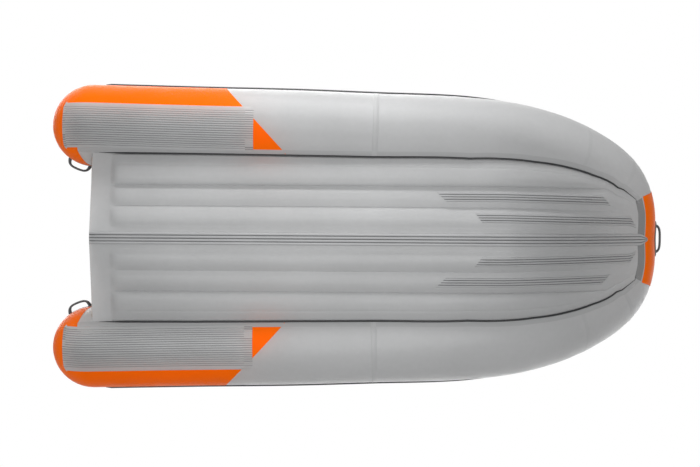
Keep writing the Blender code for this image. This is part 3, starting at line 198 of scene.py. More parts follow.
tube_radius = 0.2375
skin_radius = 0.2368
ring_centres = np.array([
    (-1.5863, 0.6530, 0.2700), (-0.9628, 0.6393, 0.2700), (-0.3750, 0.6288, 0.2700),
    (0.0602, 0.6138, 0.2700), (0.5937, 0.5952, 0.2755), (0.7830, 0.5786, 0.2932),
    (0.9602, 0.5473, 0.3233), (1.1477, 0.4936, 0.3712), (1.2857, 0.4350, 0.4177),
    (1.4272, 0.3500, 0.4760), (1.4784, 0.3023, 0.4998), (1.5155, 0.2429, 0.5180),
    (1.5392, 0.1602, 0.5300), (1.5392, 0.0000, 0.5300), (1.5392, -0.1602, 0.5300)])
joint_ring = 3
nose_ring = 13
both_sides = ((1, "port"), (-1, "starboard"))

steps_along = np.linalg.norm(np.diff(ring_centres, axis=0), axis=1)
slopes = np.diff(ring_centres, axis=0) / steps_along[:, None]
ring_tangents = [slopes[0]]
for k in range(1, len(ring_centres) - 1):
    before, after = steps_along[k - 1], steps_along[k]
    ring_tangents.append((slopes[k - 1] * after + slopes[k] * before) / (before + after))


def tube_centre(ring):
    """Centre and direction of the port tube at a whole or broken ring number."""
    k = min(int(ring), nose_ring - 1)
    t = ring - k
    p, q = ring_centres[k], ring_centres[k + 1]
    a, b = ring_tangents[k] * steps_along[k], ring_tangents[k + 1] * steps_along[k]
    place = ((2 * t**3 - 3 * t**2 + 1) * p + (t**3 - 2 * t**2 + t) * a
             + (3 * t**2 - 2 * t**3) * q + (t**3 - t**2) * b)
    going = ((6 * t**2 - 6 * t) * p + (3 * t**2 - 4 * t + 1) * a
             + (6 * t - 6 * t**2) * q + (3 * t**2 - 2 * t) * b)
    return place, going / np.linalg.norm(going)


def tube_place(ring, angle, lift=0.0, side=1):
    """A point over the tubes' skin. Angles run from straight down towards the cockpit.

    Rings under 0 are the round stern end, -1 at its tip; over 13, the starboard bow."""
    if ring > nose_ring:
        return tube_place(2 * nose_ring - ring, angle, lift, side) * (1, -1, 1)
    centre, going = tube_centre(max(ring, 0.0))
    inboard = np.array((going[1], -going[0], 0.0))
    inboard /= np.linalg.norm(inboard)
    down = np.cross(going, inboard)
    radius = skin_radius + lift
    if ring < 0:
        tilt = math.radians(90 * -ring)
        centre = centre - (radius * math.sin(tilt), 0, 0)
        radius *= math.cos(tilt)
    turned = math.radians(angle)
    point = centre + radius * (math.cos(turned) * down + math.sin(turned) * inboard)
    return point * (1, side, 1)


def ring_at_x(x):
    """Ring number where the side tube's centre line, or its stern end, reaches x."""
    start = ring_centres[0][0]
    if x < start:
        return -math.degrees(math.asin(min(1.0, (start - x) / skin_radius))) / 90
    low, high = 0.0, float(nose_ring - 1)
    for _ in range(40):
        middle = (low + high) / 2
        low, high = (middle, high) if tube_centre(middle)[0][0] < x else (low, middle)
    return low


def add_piece(name, corners, faces, uvs, material, sharp=35):
    """A closed mesh with outward faces; each face gives corner numbers and their uv."""
    mesh = bmesh.new()
    layer = mesh.loops.layers.uv.new("cloth")
    verts = [mesh.verts.new(corner) for corner in corners]
    for face, places in zip(faces, uvs):
        made = mesh.faces.new([verts[i] for i in face])
        for loop, place in zip(made.loops, places):
            loop[layer].uv = place
    bmesh.ops.remove_doubles(mesh, verts=mesh.verts, dist=0.00002)
    bmesh.ops.dissolve_degenerate(mesh, edges=mesh.edges, dist=0.000005)
    bmesh.ops.recalc_face_normals(mesh, faces=mesh.faces)
    data = bpy.data.meshes.new(name)
    mesh.to_mesh(data)
    mesh.free()
    data.materials.append(material)
    data.shade_smooth()
    data.set_sharp_from_angle(angle=math.radians(sharp))
    return add_object(name, data)


def grid_uv(grid):
    """Metres along and across a grid of points, for cloth patterns that follow it."""
    across = np.linalg.norm(np.diff(grid, axis=1), axis=2)
    across = np.concatenate([np.zeros((len(grid), 1)), np.cumsum(across, axis=1)], axis=1)
    across -= across[:, -1:] / 2
    along = np.linalg.norm(np.diff(grid, axis=0), axis=2).mean(axis=1)
    along = np.concatenate([[0.0], np.cumsum(along)])
    return np.stack([np.broadcast_to(along[:, None], across.shape), across], axis=2)


def loop_faces(grid, closed=False, base=0):
    """Faces between rows that are loops, with their uv; closed joins the last row to the first."""
    rows, columns = grid.shape[:2]
    uv = grid_uv(np.concatenate([grid, grid[:, :1]], axis=1))
    faces, uvs = [], []
    for i in range(rows if closed else rows - 1):
        m = (i + 1) % rows
        for j in range(columns):
            n = (j + 1) % columns
            faces.append([base + a * columns + b for a, b in ((i, j), (i, n), (m, n), (m, j))])
            uvs.append((uv[i, j], uv[i, j + 1], uv[m, j + 1], uv[m, j]))
    return faces, uvs, uv


def add_shell(name, grid, material, sharp=35):
    """A closed skin from a grid whose rows are loops; its end loops are closed over."""
    grid = np.asarray(grid)
    columns = grid.shape[1]
    faces, uvs, uv = loop_faces(grid)
    corners = grid.reshape(-1, 3).tolist()
    for i in (0, len(grid) - 1):
        corners.append(grid[i].mean(axis=0).tolist())
        for j in range(columns):
            faces.append((len(corners) - 1, i * columns + j, i * columns + (j + 1) % columns))
            uvs.append((uv[i].mean(axis=0), uv[i, j], uv[i, j + 1]))
    return add_piece(name, corners, faces, uvs, material, sharp)


def add_wall(name, outer, inner, material, sharp=35):
    """A closed slab between two grids of the same size, its rim closed with a strip."""
    outer, inner = np.asarray(outer), np.asarray(inner)
    rows, columns = outer.shape[:2]
    uv = grid_uv(outer)
    faces, uvs = [], []

    def number(i, j, under):
        return under * rows * columns + i * columns + j

    for i in range(rows - 1):
        for j in range(columns - 1):
            around = ((i, j), (i, j + 1), (i + 1, j + 1), (i + 1, j))
            for under in (0, 1):
                faces.append([number(a, b, under) for a, b in around])
                uvs.append([uv[a, b] for a, b in around])
    rim = [(0, j) for j in range(columns)] + [(i, columns - 1) for i in range(1, rows)]
    rim += [(rows - 1, j) for j in range(columns - 2, -1, -1)]
    rim += [(i, 0) for i in range(rows - 2, 0, -1)]
    for a, b in zip(rim, rim[1:] + rim[:1]):
        faces.append((number(*a, 0), number(*b, 0), number(*b, 1), number(*a, 1)))
        uvs.append((uv[a], uv[b], uv[b], uv[a]))
    corners = outer.reshape(-1, 3).tolist() + inner.reshape(-1, 3).tolist()
    return add_piece(name, corners, faces, uvs, material, sharp)


def sunk_hole(piece, place, outward, radius, depth):
    """Sinks a round pit for a valve into a closed skin."""
    pit = bmesh.new()
    turn = Vector(outward).to_track_quat("Z", "Y").to_matrix().to_4x4()
    middle = Vector(place) + Vector(outward).normalized() * (0.03 - depth) / 2
    bmesh.ops.create_cone(pit, cap_ends=True, segments=48, radius1=radius, radius2=radius,
                          depth=0.03 + depth, matrix=Matrix.Translation(middle) @ turn)
    data = bpy.data.meshes.new("pit")
    pit.to_mesh(data)
    pit.free()
    cutter = add_object("pit", data)
    cut = piece.modifiers.new("pit", "BOOLEAN")
    cut.operation = "DIFFERENCE"
    cut.solver = "EXACT"
    cut.object = cutter
    result = bpy.data.meshes.new_from_object(
        piece.evaluated_get(bpy.context.evaluated_depsgraph_get()))
    piece.modifiers.remove(cut)
    old = piece.data
    piece.data = result
    result.name = old.name
    bpy.data.meshes.remove(old)
    bpy.data.objects.remove(cutter)
    result.shade_smooth()
    result.set_sharp_from_angle(angle=math.radians(35))


def new_group(name, values):
    """A node group for a surface's colour, roughness and relief, with these input sockets."""
    group = bpy.data.node_groups.new(name, "ShaderNodeTree")
    for label, value in values.items():
        kind = "NodeSocketColor" if isinstance(value, tuple) else "NodeSocketFloat"
        socket = group.interface.new_socket(label, in_out="INPUT", socket_type=kind)
        socket.default_value = value
    for label, kind in (("Colour", "Color"), ("Roughness", "Float"), ("Normal", "Vector")):
        group.interface.new_socket(label, in_out="OUTPUT", socket_type="NodeSocket" + kind)
    return group, add_node(group, "NodeGroupInput"), add_node(group, "NodeGroupOutput")


def noise(where, scale, detail=2.0, **values):
    """A noise texture's value over the object's own coordinates."""
    texture = add_node(where.id_data, "ShaderNodeTexNoise",
                       {"Scale": scale, "Detail": detail, **values})
    link(where, "Object", texture, "Vector")
    return texture.outputs["Fac"]


# Coated cloth: a fine weave under a smooth coat, uneven tone, dull scuffs and soft creases.
coated_cloth, given, results = new_group("coated_cloth", {
    "Tone": (0.5, 0.5, 0.5, 1), "Weave Pitch": 0.0013, "Weave Depth": 1.0, "Unevenness": 1.0})
tree = coated_cloth
where = add_node(tree, "ShaderNodeTexCoord")
threads = add_node(tree, "ShaderNodeSeparateXYZ")
link(where, "UV", threads, 0)
turns = maths("DIVIDE", 2 * math.pi, given.outputs["Weave Pitch"])
warp = maths("SINE", maths("MULTIPLY", threads.outputs["X"], turns))
weft = maths("SINE", maths("MULTIPLY", threads.outputs["Y"], turns))
weave = maths("MULTIPLY", warp, weft)
shade = maths("MULTIPLY", maths("SUBTRACT", noise(where, 2.2, 3.0), 0.5), 0.16)
mottle = maths("MULTIPLY", maths("SUBTRACT", noise(where, 38.0, 4.0), 0.5), 0.07)
shade = maths("ADD", maths("ADD", shade, mottle), maths("MULTIPLY", weave, 0.02))
shade = maths("ADD", maths("MULTIPLY", shade, given.outputs["Unevenness"]), 1.0)
toned = add_node(tree, "ShaderNodeVectorMath", operation="SCALE")
link(given, "Tone", toned, 0)
feed(shade, toned, "Scale")
link(toned, 0, results, "Colour")
dull = add_node(tree, "ShaderNodeMapRange", {"From Min": 0.45, "From Max": 0.75})
feed(noise(where, 9.0, 6.0, Roughness=0.7, Distortion=0.6), dull, "Value")
feed(maths("ADD", maths("MULTIPLY", dull.outputs[0], 0.16), 0.34), results, "Roughness")
weave_bump = add_node(tree, "ShaderNodeBump", {"Distance": 0.00012})
link(given, "Weave Depth", weave_bump, "Strength")
feed(weave, weave_bump, "Height")
soft_bump = add_node(tree, "ShaderNodeBump", {"Strength": 0.35, "Distance": 0.006})
feed(noise(where, 6.5), soft_bump, "Height")
link(soft_bump, "Normal", weave_bump, "Normal")
link(weave_bump, "Normal", results, "Normal")


def grouped_material(name, group, values, surface_values=None):
    """A surface whose colour, roughness and relief come from a node group."""
    material, output = new_material(name)
    tree = material.node_tree
    finish = add_node(tree, "ShaderNodeGroup", values, node_tree=group)
    surface = add_node(tree, "ShaderNodeBsdfPrincipled", surface_values)
    link(finish, "Colour", surface, "Base Color")
    link(finish, "Roughness", surface, "Roughness")
    link(finish, "Normal", surface, "Normal")
    link(surface, "BSDF", output, "Surface")
    return material


def cloth_material(name, colour, pitch=0.0013, depth=1.0, unevenness=1.0, ior=1.38):
    return grouped_material(
        name, coated_cloth, {"Tone": (*colour, 1), "Weave Pitch": pitch, "Weave Depth": depth,
                             "Unevenness": unevenness}, {"IOR": ior})


grey_cloth = cloth_material("grey_cloth", (0.440, 0.443, 0.446))
tape_cloth = cloth_material("tape_cloth", (0.425, 0.428, 0.431), unevenness=0.6)
bulkhead_cloth = cloth_material("bulkhead_cloth", (0.60, 0.60, 0.58), pitch=0.002, depth=2.0)

around = np.arange(0, 360, 3.75) - 180


def rows_between(start, end, step):
    """Ring numbers from start to end about a step apart along the tube, every whole one in."""
    marks = sorted({start, end, *[k for k in range(int(start), int(end) + 1) if start < k < end]})
    numbers = [start]
    for low, high in zip(marks, marks[1:]):
        length = np.linalg.norm(tube_place(high, 0) - tube_place(low, 0))
        count = max(1, round(length / step))
        numbers += [low + (high - low) * i / count for i in range(1, count + 1)]
    return numbers


valve_places = {
    "port": ((-1.203844, 0.457778, 0.413344), (-0.017446, -0.793233, 0.608668)),
    "starboard": ((-1.203844, -0.457778, 0.413344), (-0.017446, 0.793233, 0.608668)),
    "bow": ((0.815016, 0.383558, 0.449504), (-0.23652, -0.762387, 0.602349)),
    "floor": ((-1.323843, 0.0, 0.166253), (0.0, 0.0, 1.0)),
}
pit_radius = 0.0231
pit_depth = 0.0425

stern_rows = [-1 + i / 14 for i in range(14)]
for side, word in both_sides:
    rows = stern_rows + rows_between(0.0, joint_ring - 0.0015, 0.04)
    skin = [[tube_place(ring, angle, 0, side) for angle in around] for ring in rows]
    tube = add_shell(word + "_side_tube_skin", skin, grey_cloth)
    sunk_hole(tube, *valve_places[word], pit_radius, pit_depth)
    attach(tube, "hull")
    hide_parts(word + "_side_tube")

rows = rows_between(joint_ring + 0.0015, 2 * nose_ring - joint_ring - 0.0015, 0.03)
skin = [[tube_place(ring, angle) for angle in around] for ring in rows]
bow = add_shell("bow_tube_skin", skin, grey_cloth)
sunk_hole(bow, *valve_places["bow"], pit_radius, pit_depth)
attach(bow, "hull")
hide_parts("bow_tube")


def flat_cut(grid):
    """Width, length and area that a cloth of this grid of points was cut to."""
    grid = np.asarray(grid)
    across = np.linalg.norm(np.diff(grid, axis=0), axis=2)
    along = np.linalg.norm(np.diff(grid, axis=1), axis=2)
    width = min(across.sum(axis=0).max(), 2 * math.pi * (tube_radius + 0.0025))
    length = along.sum(axis=1).max()
    one, other = grid[1:, 1:] - grid[:-1, :-1], grid[1:, :-1] - grid[:-1, 1:]
    area = np.linalg.norm(np.cross(one, other), axis=2).sum() / 2
    return float(width), float(length), float(min(area, width * length))


# Dished bulkheads inside, between the bow chamber and each side chamber.
bulkhead_mouth = 0.2362
bulkhead_depth = 0.11
bulkhead_thickness = 0.0012
centre, going = tube_centre(joint_ring - 0.06)
inboard = np.array((going[1], -going[0], 0.0))
down = np.cross(going, inboard)
for side, word in both_sides:
    dish = []
    for inset in (0.0, bulkhead_thickness):
        rows = []
        for turn in np.linspace(0, math.pi / 2, 13):
            middle = centre - going * (bulkhead_depth - inset) * math.sin(turn)
            radius = (bulkhead_mouth - inset) * math.cos(turn)
            rows.append([(middle + radius * (math.cos(a) * down + math.sin(a) * inboard))
                         * (1, side, 1) for a in np.radians(around)])
        dish.append(rows)
    bulkhead = add_shell(word + "_bulkhead", dish[0][::-1] + dish[1], bulkhead_cloth)
    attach(bulkhead, "hull")
    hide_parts(word + "_baffle")
    face = np.array(dish[0])
    reach, _, area = flat_cut(np.concatenate([face, face[:, :1]], axis=1))

# Welded tapes over the joints between chambers and between the bow's wedge panels.
tape_width = 0.036
panel_tape_width = 0.022


def tube_band(rings, lift, thickness):
    """Rows for a closed band round a tube, with thin edges."""
    lifts = [lift + 0.0001] + [lift + thickness] * (len(rings) - 2) + [lift + 0.0001]
    lifts += [lift - 0.0004] * len(rings)
    return [[tube_place(ring, angle, high) for angle in around]
            for ring, high in zip(rings + rings[::-1], lifts)]


def ring_step(ring, distance):
    """The change of ring number that goes a distance along the tube."""
    return distance / steps_along[min(int(ring), len(steps_along) - 1)]


half = ring_step(joint_ring, tape_width / 2)
inner_edge = ring_step(joint_ring, tape_width / 2 - 0.0015)
joint_rows = [joint_ring - half, joint_ring - inner_edge, joint_ring,
              joint_ring + inner_edge, joint_ring + half]
tapes = [tube_band(joint_rows, 0.0002, 0.0009)]
for ring in (7.5, 9.5, 11.5):
    half = ring_step(ring, panel_tape_width / 2)
    edge = ring_step(ring, panel_tape_width / 2 - 0.001)
    rows = [ring - half, ring - edge, ring, ring + edge, ring + half]
    tapes.append(tube_band(rows, 0.0002, 0.0002))
corners, faces, uvs = [], [], []
for rows in tapes:
    for side, _ in both_sides:
        grid = np.asarray(rows) * (1, side, 1)
        tape_faces, tape_uvs, _ = loop_faces(grid, closed=True, base=len(corners))
        corners += grid.reshape(-1, 3).tolist()
        faces += tape_faces
        uvs += tape_uvs
seams = add_piece("tube_seam_tapes", corners, faces, uvs, tape_cloth, sharp=60)
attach(seams, "hull")


# ---- Air floor: a soft mattress with a V bottom, seven long chambers and a flat deck ----
# Two skins of coated cloth held to shape by inner webs; each web pulls in a crisp crease.
# It is taped to the tubes all round, and its aft hem runs under the transom board.

floor_lift = 0.0006
floor_start_x = -1.5618
floor_wall_x = -1.5303
hem_x = -1.4579
keel_rise_x = 0.80115
keel_underside = 0.0053
keel_rise_power = 1.7
seam_angles = (45, 42, 41, 38, 34, 29, 23.5, 15, 8, -1, -9.5, -20, -21.5)
deck_angles = (62, 62, 62, 61, 60, 58, 55, 50, 46, 40, 35, 30, 30)
swell_shares = (1, 1, 1, 1, 1, 1, 1, 1, 0.9, 0.6, 0.35, 0.15, 0)
crease_places = (0.065, 0.186, 0.303)
crease_limits = (0.30, 0.62, 0.86)
crease_nose_shares = (0.88, 0.88, 0.97)
crease_nose_x = 1.5387
shoulder_swell = 0.030
chamber_swell = 0.018
full_chamber = 0.12
full_shoulder = 0.15
weld_dent = 0.0012
deck_swell = 0.0095
board_lean = math.tan(math.radians(4))
hem_thickness = 0.004


def clamped(value):
    return min(1.0, max(0.0, value))


def along_rings(values, ring):
    return float(np.interp(ring, range(len(values)), values))


front_edge = tube_place(12, seam_angles[-1], floor_lift)


def keel_height(x):
    share = clamped((x - keel_rise_x) / (front_edge[0] - keel_rise_x))
    return keel_underside + (front_edge[2] - keel_underside) * share ** keel_rise_power


def crease_lines(x, edge_y):
    """Distances of the chamber creases from the keel at a station."""
    share = clamped((x - keel_rise_x) / (crease_nose_x - keel_rise_x))
    return [min(place * (1 + (nose - 1) * share), limit * edge_y)
            for place, limit, nose in zip(crease_places, crease_limits, crease_nose_shares)]


arc_steps = 8
seam_tuck = 4.0


def floor_row(ring, swell=1.0, x=None, apron=False, lean=False):
    """One loop of floor points: bottom from keel to port seam, side, deck, and back."""
    seam, deck = along_rings(seam_angles, ring), along_rings(deck_angles, ring)
    swell = swell * along_rings(swell_shares, ring)
    tuck = seam_tuck * min(1.0, 1.3 * swell)
    edge = tube_place(ring, seam, floor_lift)
    sides = [tube_place(ring, seam + tuck + (deck - seam - tuck) * i / 5, floor_lift)
             for i in range(6)]
    if x is not None:
        for point in sides + [edge]:
            point[0] = x
    top = sides[-1]
    keel = front_edge[2] if ring >= 12 else keel_height(edge[0])

    def base(y):
        return keel + (edge[2] - keel) * min(1.0, y / edge[1])

    creases = [0.0] + crease_lines(edge[0], edge[1])
    bottom = []
    for i, (low, high) in enumerate(zip(creases, creases[1:])):
        for step in range(arc_steps):
            t = step / arc_steps
            y = low + (high - low) * t
            bulge = 0.0 if i == 0 else swell * chamber_swell * 4 * t * (1 - t)
            wide = min(1.0, (high - low) / full_chamber)
            bottom.append(np.array((edge[0], y, base(y) - bulge * wide)))
    low = creases[-1]
    for t in (0, 0.04, 0.10, 0.18, 0.28, 0.38, 0.48, 0.58, 0.64, 0.66, 0.68, 0.74, 0.82, 0.90,
              0.96):
        y = low + (edge[1] - low) * t
        wide = min(1.0, (edge[1] - low) / full_shoulder)
        bulge = shoulder_swell * wide * math.sin(math.pi * t ** 0.72) ** 0.75
        faint_weld = weld_dent if t == 0.66 else 0.0
        bottom.append(np.array((edge[0], y, base(y) - min(1.0, swell) * (bulge - faint_weld))))
    if apron:
        sides = [edge + (0, 0, hem_thickness * i / 5) for i in range(6)]
        top = sides[-1]
    deck_row = []
    creases = [0.0] + crease_lines(top[0], top[1]) + [top[1]]
    for i, (low, high) in enumerate(zip(creases, creases[1:])):
        for step in range(arc_steps):
            t = step / arc_steps
            y = low + (high - low) * t
            if apron:
                z = base(y) + hem_thickness
            else:
                crown = 4 * t * (1 - t) if i else math.cos(t * math.pi / 2) ** 0.5
                z = top[2] + swell * deck_swell * crown
            deck_row.append(np.array((top[0], y, z)))
    half = bottom[1:] + sides + deck_row[:0:-1]
    if lean:
        half = [point - (point[2] * board_lean, 0, 0) for point in half]
        bottom[0] = bottom[0] - (bottom[0][2] * board_lean, 0, 0)
        deck_row[0] = deck_row[0] - (deck_row[0][2] * board_lean, 0, 0)
    other = [point * (1, -1, 1) for point in half[::-1]]
    return [bottom[0]] + half + [deck_row[0]] + other


loft = [
    floor_row(ring_at_x(floor_start_x), 0, floor_start_x, apron=True),
    floor_row(ring_at_x(floor_wall_x), 0, floor_wall_x, apron=True, lean=True),
    floor_row(ring_at_x(floor_wall_x), 0.0, floor_wall_x + 0.001, lean=True),
]
for x, swell in ((-1.50, 0.10), (hem_x, 0.0), (hem_x + 0.012, 0.12), (hem_x + 0.022, 0.45),
                 (hem_x + 0.038, 0.80), (hem_x + 0.060, 0.96)):
    loft.append(floor_row(ring_at_x(x), swell, x))
loft += [floor_row(ring) for ring in rows_between(ring_at_x(-1.36), 12.0, 0.04)]
mattress = add_shell("air_floor_skin", loft, grey_cloth, sharp=24)
sunk_hole(mattress, *valve_places["floor"], pit_radius, pit_depth)
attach(mattress, "hull")
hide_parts("air_floor")

# A near-black bead deep in the crevice between floor and tubes, both sides, is painted shade: a
# dark strip standing in for the shadow in that crevice.
painted_crevice_shade = cloth_material("painted_crevice_shade", (0.040, 0.041, 0.043), unevenness=0.5)
shade_bead_radius = 0.0062
shade_bead_tuck = 1.3
seam_end_ring = 11.35
shade_bead_rows = []
shade_bead_rings = rows_between(ring_at_x(-1.52), seam_end_ring, 0.04)
for i, ring in enumerate(shade_bead_rings):
    angle = along_rings(seam_angles, ring) - shade_bead_tuck
    middle, above = tube_place(ring, angle, shade_bead_radius * 0.35), tube_place(ring, angle, 0.05)
    out = (above - middle) / np.linalg.norm(above - middle)
    across = np.cross(out, tube_centre(ring)[1])
    size = shade_bead_radius * (0.45 + 0.55 * along_rings(swell_shares, ring))
    size *= min(1.0, (i + 0.4) / 4, (len(shade_bead_rings) - i - 0.6) / 4)
    shade_bead_rows.append([middle + size * (math.cos(a) * out + math.sin(a) * across)
                  for a in np.arange(0, 2 * math.pi, math.pi / 4)])
for side, word in both_sides:
    shade_bead = add_shell(word + "_floor_crevice_shade_bead", np.array(shade_bead_rows) * (1, side, 1), painted_crevice_shade)
    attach(shade_bead, "hull")

# The floor's flange: a flat tape glued to each tube beside the seam, over the stern panel. Its
# cloth is toned darker than the tubes' as painted shade along the seam.
flange_cloth_painted_shade = cloth_material("flange_cloth_painted_shade", (0.385, 0.388, 0.391), unevenness=0.6)
flange_columns = ((-1.0, 0.0), (-1.3, 1.0), (-3.0, 1.0), (-5.5, 1.0), (-9.4, 1.0), (-9.7, 0.0))
flange_rings = rows_between(ring_at_x(-1.642), 0, 0.03)[:-1]
flange_rings += rows_between(0, seam_end_ring, 0.04)
for side, word in both_sides:
    outer, inner = [], []
    for ring in flange_rings:
        seam = along_rings(seam_angles, ring)
        share = clamped((tube_place(ring, seam)[0] + 0.50) / 0.08)
        lift = 0.0014 - 0.0012 * share * share * (3 - 2 * share)
        outer.append([tube_place(ring, seam + a, lift + 0.0001 + 0.0004 * high, side)
                      for a, high in flange_columns])
        inner.append([tube_place(ring, seam + a, lift, side) for a, high in flange_columns])
    flange = add_wall(word + "_floor_flange", outer, inner, flange_cloth_painted_shade)
    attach(flange, "hull")

# A band of the same cloth, toned dark, lies across the bow tube at the floor's front edge: painted
# shade for the nose, which turns up there away from the light.
nose_painted_shade_cloth = cloth_material("nose_painted_shade_cloth", (0.225, 0.227, 0.229), unevenness=0.6)
nose_shade_band_ring = 11.12
glue_lift = 0.0001
nose_columns = ((-0.3, 0.0), (-0.7, 1.0), (-4.0, 1.0), (-8.0, 1.0), (-12.6, 1.0), (-13.0, 0.0))
outer, inner = [], []
for ring in np.linspace(nose_shade_band_ring, 2 * nose_ring - nose_shade_band_ring, 49):
    seam = along_rings(seam_angles, min(ring, 2 * nose_ring - ring))
    outer.append([tube_place(ring, seam + a, 0.0003 + 0.0005 * high) for a, high in nose_columns])
    inner.append([tube_place(ring, seam + a, glue_lift) for a, high in nose_columns])
nose_shade_band = add_wall("nose_painted_shade_band", outer, inner, nose_painted_shade_cloth)
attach(nose_shade_band, "hull")


# ---- Stern panels and bow patch: coloured cloth glued over the tubes ----
# One panel wraps each stern end and runs forward under the tube, cut off on a slant;
# a small patch of the same cloth covers the front of the nose.

orange_cloth = cloth_material("orange_cloth", (0.93, 0.150, 0.002), unevenness=0.5, ior=1.10)
panel_lift = 0.0012
panel_inner_angle = 41
panel_top_angle = 165
panel_front_x = -0.585
panel_slope = 0.955 * tube_radius
gusset_low_x = -1.645
gusset_high_x = -1.5925

panel_columns = [panel_top_angle - 360 + i * (panel_inner_angle + 360 - panel_top_angle) / 63
                 for i in range(64)]
inner_columns = [panel_inner_angle + 0.4 + i * (panel_top_angle - panel_inner_angle - 0.8) / 33
                 for i in range(34)]


def panel_front(angle):
    if angle <= panel_inner_angle:
        return ring_at_x(panel_front_x + panel_slope * math.sin(math.radians(angle)))
    if angle < 90:
        share = (angle - panel_inner_angle) / (90 - panel_inner_angle)
        return ring_at_x(gusset_low_x + (gusset_high_x - gusset_low_x) * share)
    if angle < 104:
        return ring_at_x(gusset_high_x)
    return ring_at_x(-1.650)


def share_rows(angle, lift, side):
    """A column of panel points from the stern tip to the panel's front edge."""
    end = panel_front(angle)
    rings = [-1 + i / 12 * (1 + min(0.0, end)) for i in range(13)]
    rings += [max(0.0, end) * i / 36 for i in range(1, 37)] if end > 0 else [end] * 36
    return [tube_place(ring, angle, lift, side) for ring in rings]


for side, word in both_sides:
    columns = panel_columns + inner_columns + [panel_top_angle - 0.001]
    outer = [share_rows(a, panel_lift, side) for a in columns]
    inner = [share_rows(a, glue_lift, side) for a in columns]
    panel = add_wall(word + "_stern_panel_cloth", outer, inner, orange_cloth)
    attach(panel, "hull")
    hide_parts(word + "_stern_panel")
    width, length, area = flat_cut(outer)

patch_angles = [-120 + 84 * i / 30 for i in range(31)]
patch_starts = [11.35 - 0.26 * (i / 30) ** 2 for i in range(31)]
outer, inner = [], []
for share in np.linspace(-1, 1, 49):
    places = [(nose_ring + share * (nose_ring - start), angle)
              for start, angle in zip(patch_starts, patch_angles)]
    outer.append([tube_place(ring, angle, panel_lift) for ring, angle in places])
    inner.append([tube_place(ring, angle, glue_lift) for ring, angle in places])
patch = add_wall("bow_patch_cloth", outer, inner, orange_cloth)
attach(patch, "hull")
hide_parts("bow_patch")
width, length, area = flat_cut(outer)


# ---- Wear patches: thick moulded rubber sheet under each stern tube ----
# They take the boat's weight on a slipway. Fine ribs run lengthwise between plain borders,
# and they are glued over the coloured panels.

# Moulded rubber and plastic: fine pebble grain, chalky dust in patches, small tone changes.
moulded_face, given, results = new_group("moulded_face", {
    "Tone": (0.2, 0.2, 0.2, 1), "Grain Scale": 420.0, "Base Roughness": 0.55, "Chalk": 0.5})
tree = moulded_face
where = add_node(tree, "ShaderNodeTexCoord")
pebbles = add_node(tree, "ShaderNodeTexVoronoi", feature="SMOOTH_F1")
link(where, "Object", pebbles, "Vector")
link(given, "Grain Scale", pebbles, "Scale")
dusty = add_node(tree, "ShaderNodeMapRange", {"From Min": 0.5, "From Max": 0.72})
feed(noise(where, 14.0, 7.0, Roughness=0.65), dusty, "Value")
dust_share = maths("MULTIPLY", dusty.outputs[0], maths("MULTIPLY", given.outputs["Chalk"], 0.22))
tone_share = maths("MULTIPLY", maths("SUBTRACT", noise(where, 3.5, 3.0), 0.5), 0.18)
tone_share = maths("ADD", tone_share, 1.0)
toned = add_node(tree, "ShaderNodeVectorMath", operation="SCALE")
link(given, "Tone", toned, 0)
feed(tone_share, toned, "Scale")
dusted = add_node(tree, "ShaderNodeMix", data_type="RGBA")
feed(dust_share, dusted, "Factor")
link(toned, 0, dusted, 6)
dusted.inputs[7].default_value = (0.42, 0.41, 0.39, 1)
link(dusted, 2, results, "Colour")
dusty_rough = maths("MULTIPLY", dusty.outputs[0], 0.12)
feed(maths("ADD", given.outputs["Base Roughness"], dusty_rough), results, "Roughness")
grain = add_node(tree, "ShaderNodeBump", {"Strength": 0.8, "Distance": 0.00006})
link(pebbles, "Distance", grain, "Height")
link(grain, "Normal", results, "Normal")


def rubber_material(name, colour, rough=0.55, worn=0.5, grain_scale=420.0):
    return grouped_material(name, moulded_face, {
        "Tone": (*colour, 1), "Grain Scale": grain_scale, "Base Roughness": rough, "Chalk": worn})


def paint_groove_shade(piece, dark, places, half_width):
    """Paints shade into the bottoms of lengthwise grooves with a second, darker rubber; places are
    shares across.
    """
    data = piece.data
    data.materials.append(dark)
    uv = np.zeros(len(data.loops) * 2)
    data.uv_layers["cloth"].data.foreach_get("uv", uv)
    across = uv[1::2]
    marks, rows = np.unique(np.round(uv[0::2], 4), return_inverse=True)
    reach = np.zeros(len(marks))
    np.maximum.at(reach, rows, np.abs(across))
    shares = across / (2 * reach[rows]) + 0.5
    for face in data.polygons:
        share = shares[face.loop_start:face.loop_start + face.loop_total].mean()
        if min(abs(share - place) for place in places) < half_width:
            face.material_index = 1


wear_rubber = rubber_material("wear_rubber", (0.415, 0.418, 0.422), rough=0.5, worn=0.8)
# The groove rubber is darker to paint the shade that falls in the grooves between the ribs.
wear_groove_painted_shade = rubber_material("wear_groove_painted_shade", (0.24, 0.242, 0.245), rough=0.7, worn=0.4)
patch_outer_angle = -29.5
patch_inner_angle = 35.0
patch_aft_ring = -0.41
patch_end_x = -0.63385
patch_rib_count = 18
patch_plain_share = 0.10
patch_ribs_end = 0.965
patch_lift = 0.0013
patch_glue = 0.0006
patch_body = 0.0030
patch_rib = 0.0013

patch_columns = [(0.0, 0.0), (0.012, 1.0), (patch_plain_share * 0.9, 1.0)]
width = (patch_ribs_end - patch_plain_share) / patch_rib_count
for i in range(patch_rib_count):
    start = patch_plain_share + width * i
    patch_columns += [(start + width * 0.06, 0.0), (start + width * 0.34, 0.0),
                      (start + width * 0.44, 1.0), (start + width * 0.96, 1.0)]
patch_columns += [(0.988, 1.0), (1.0, 0.0)]

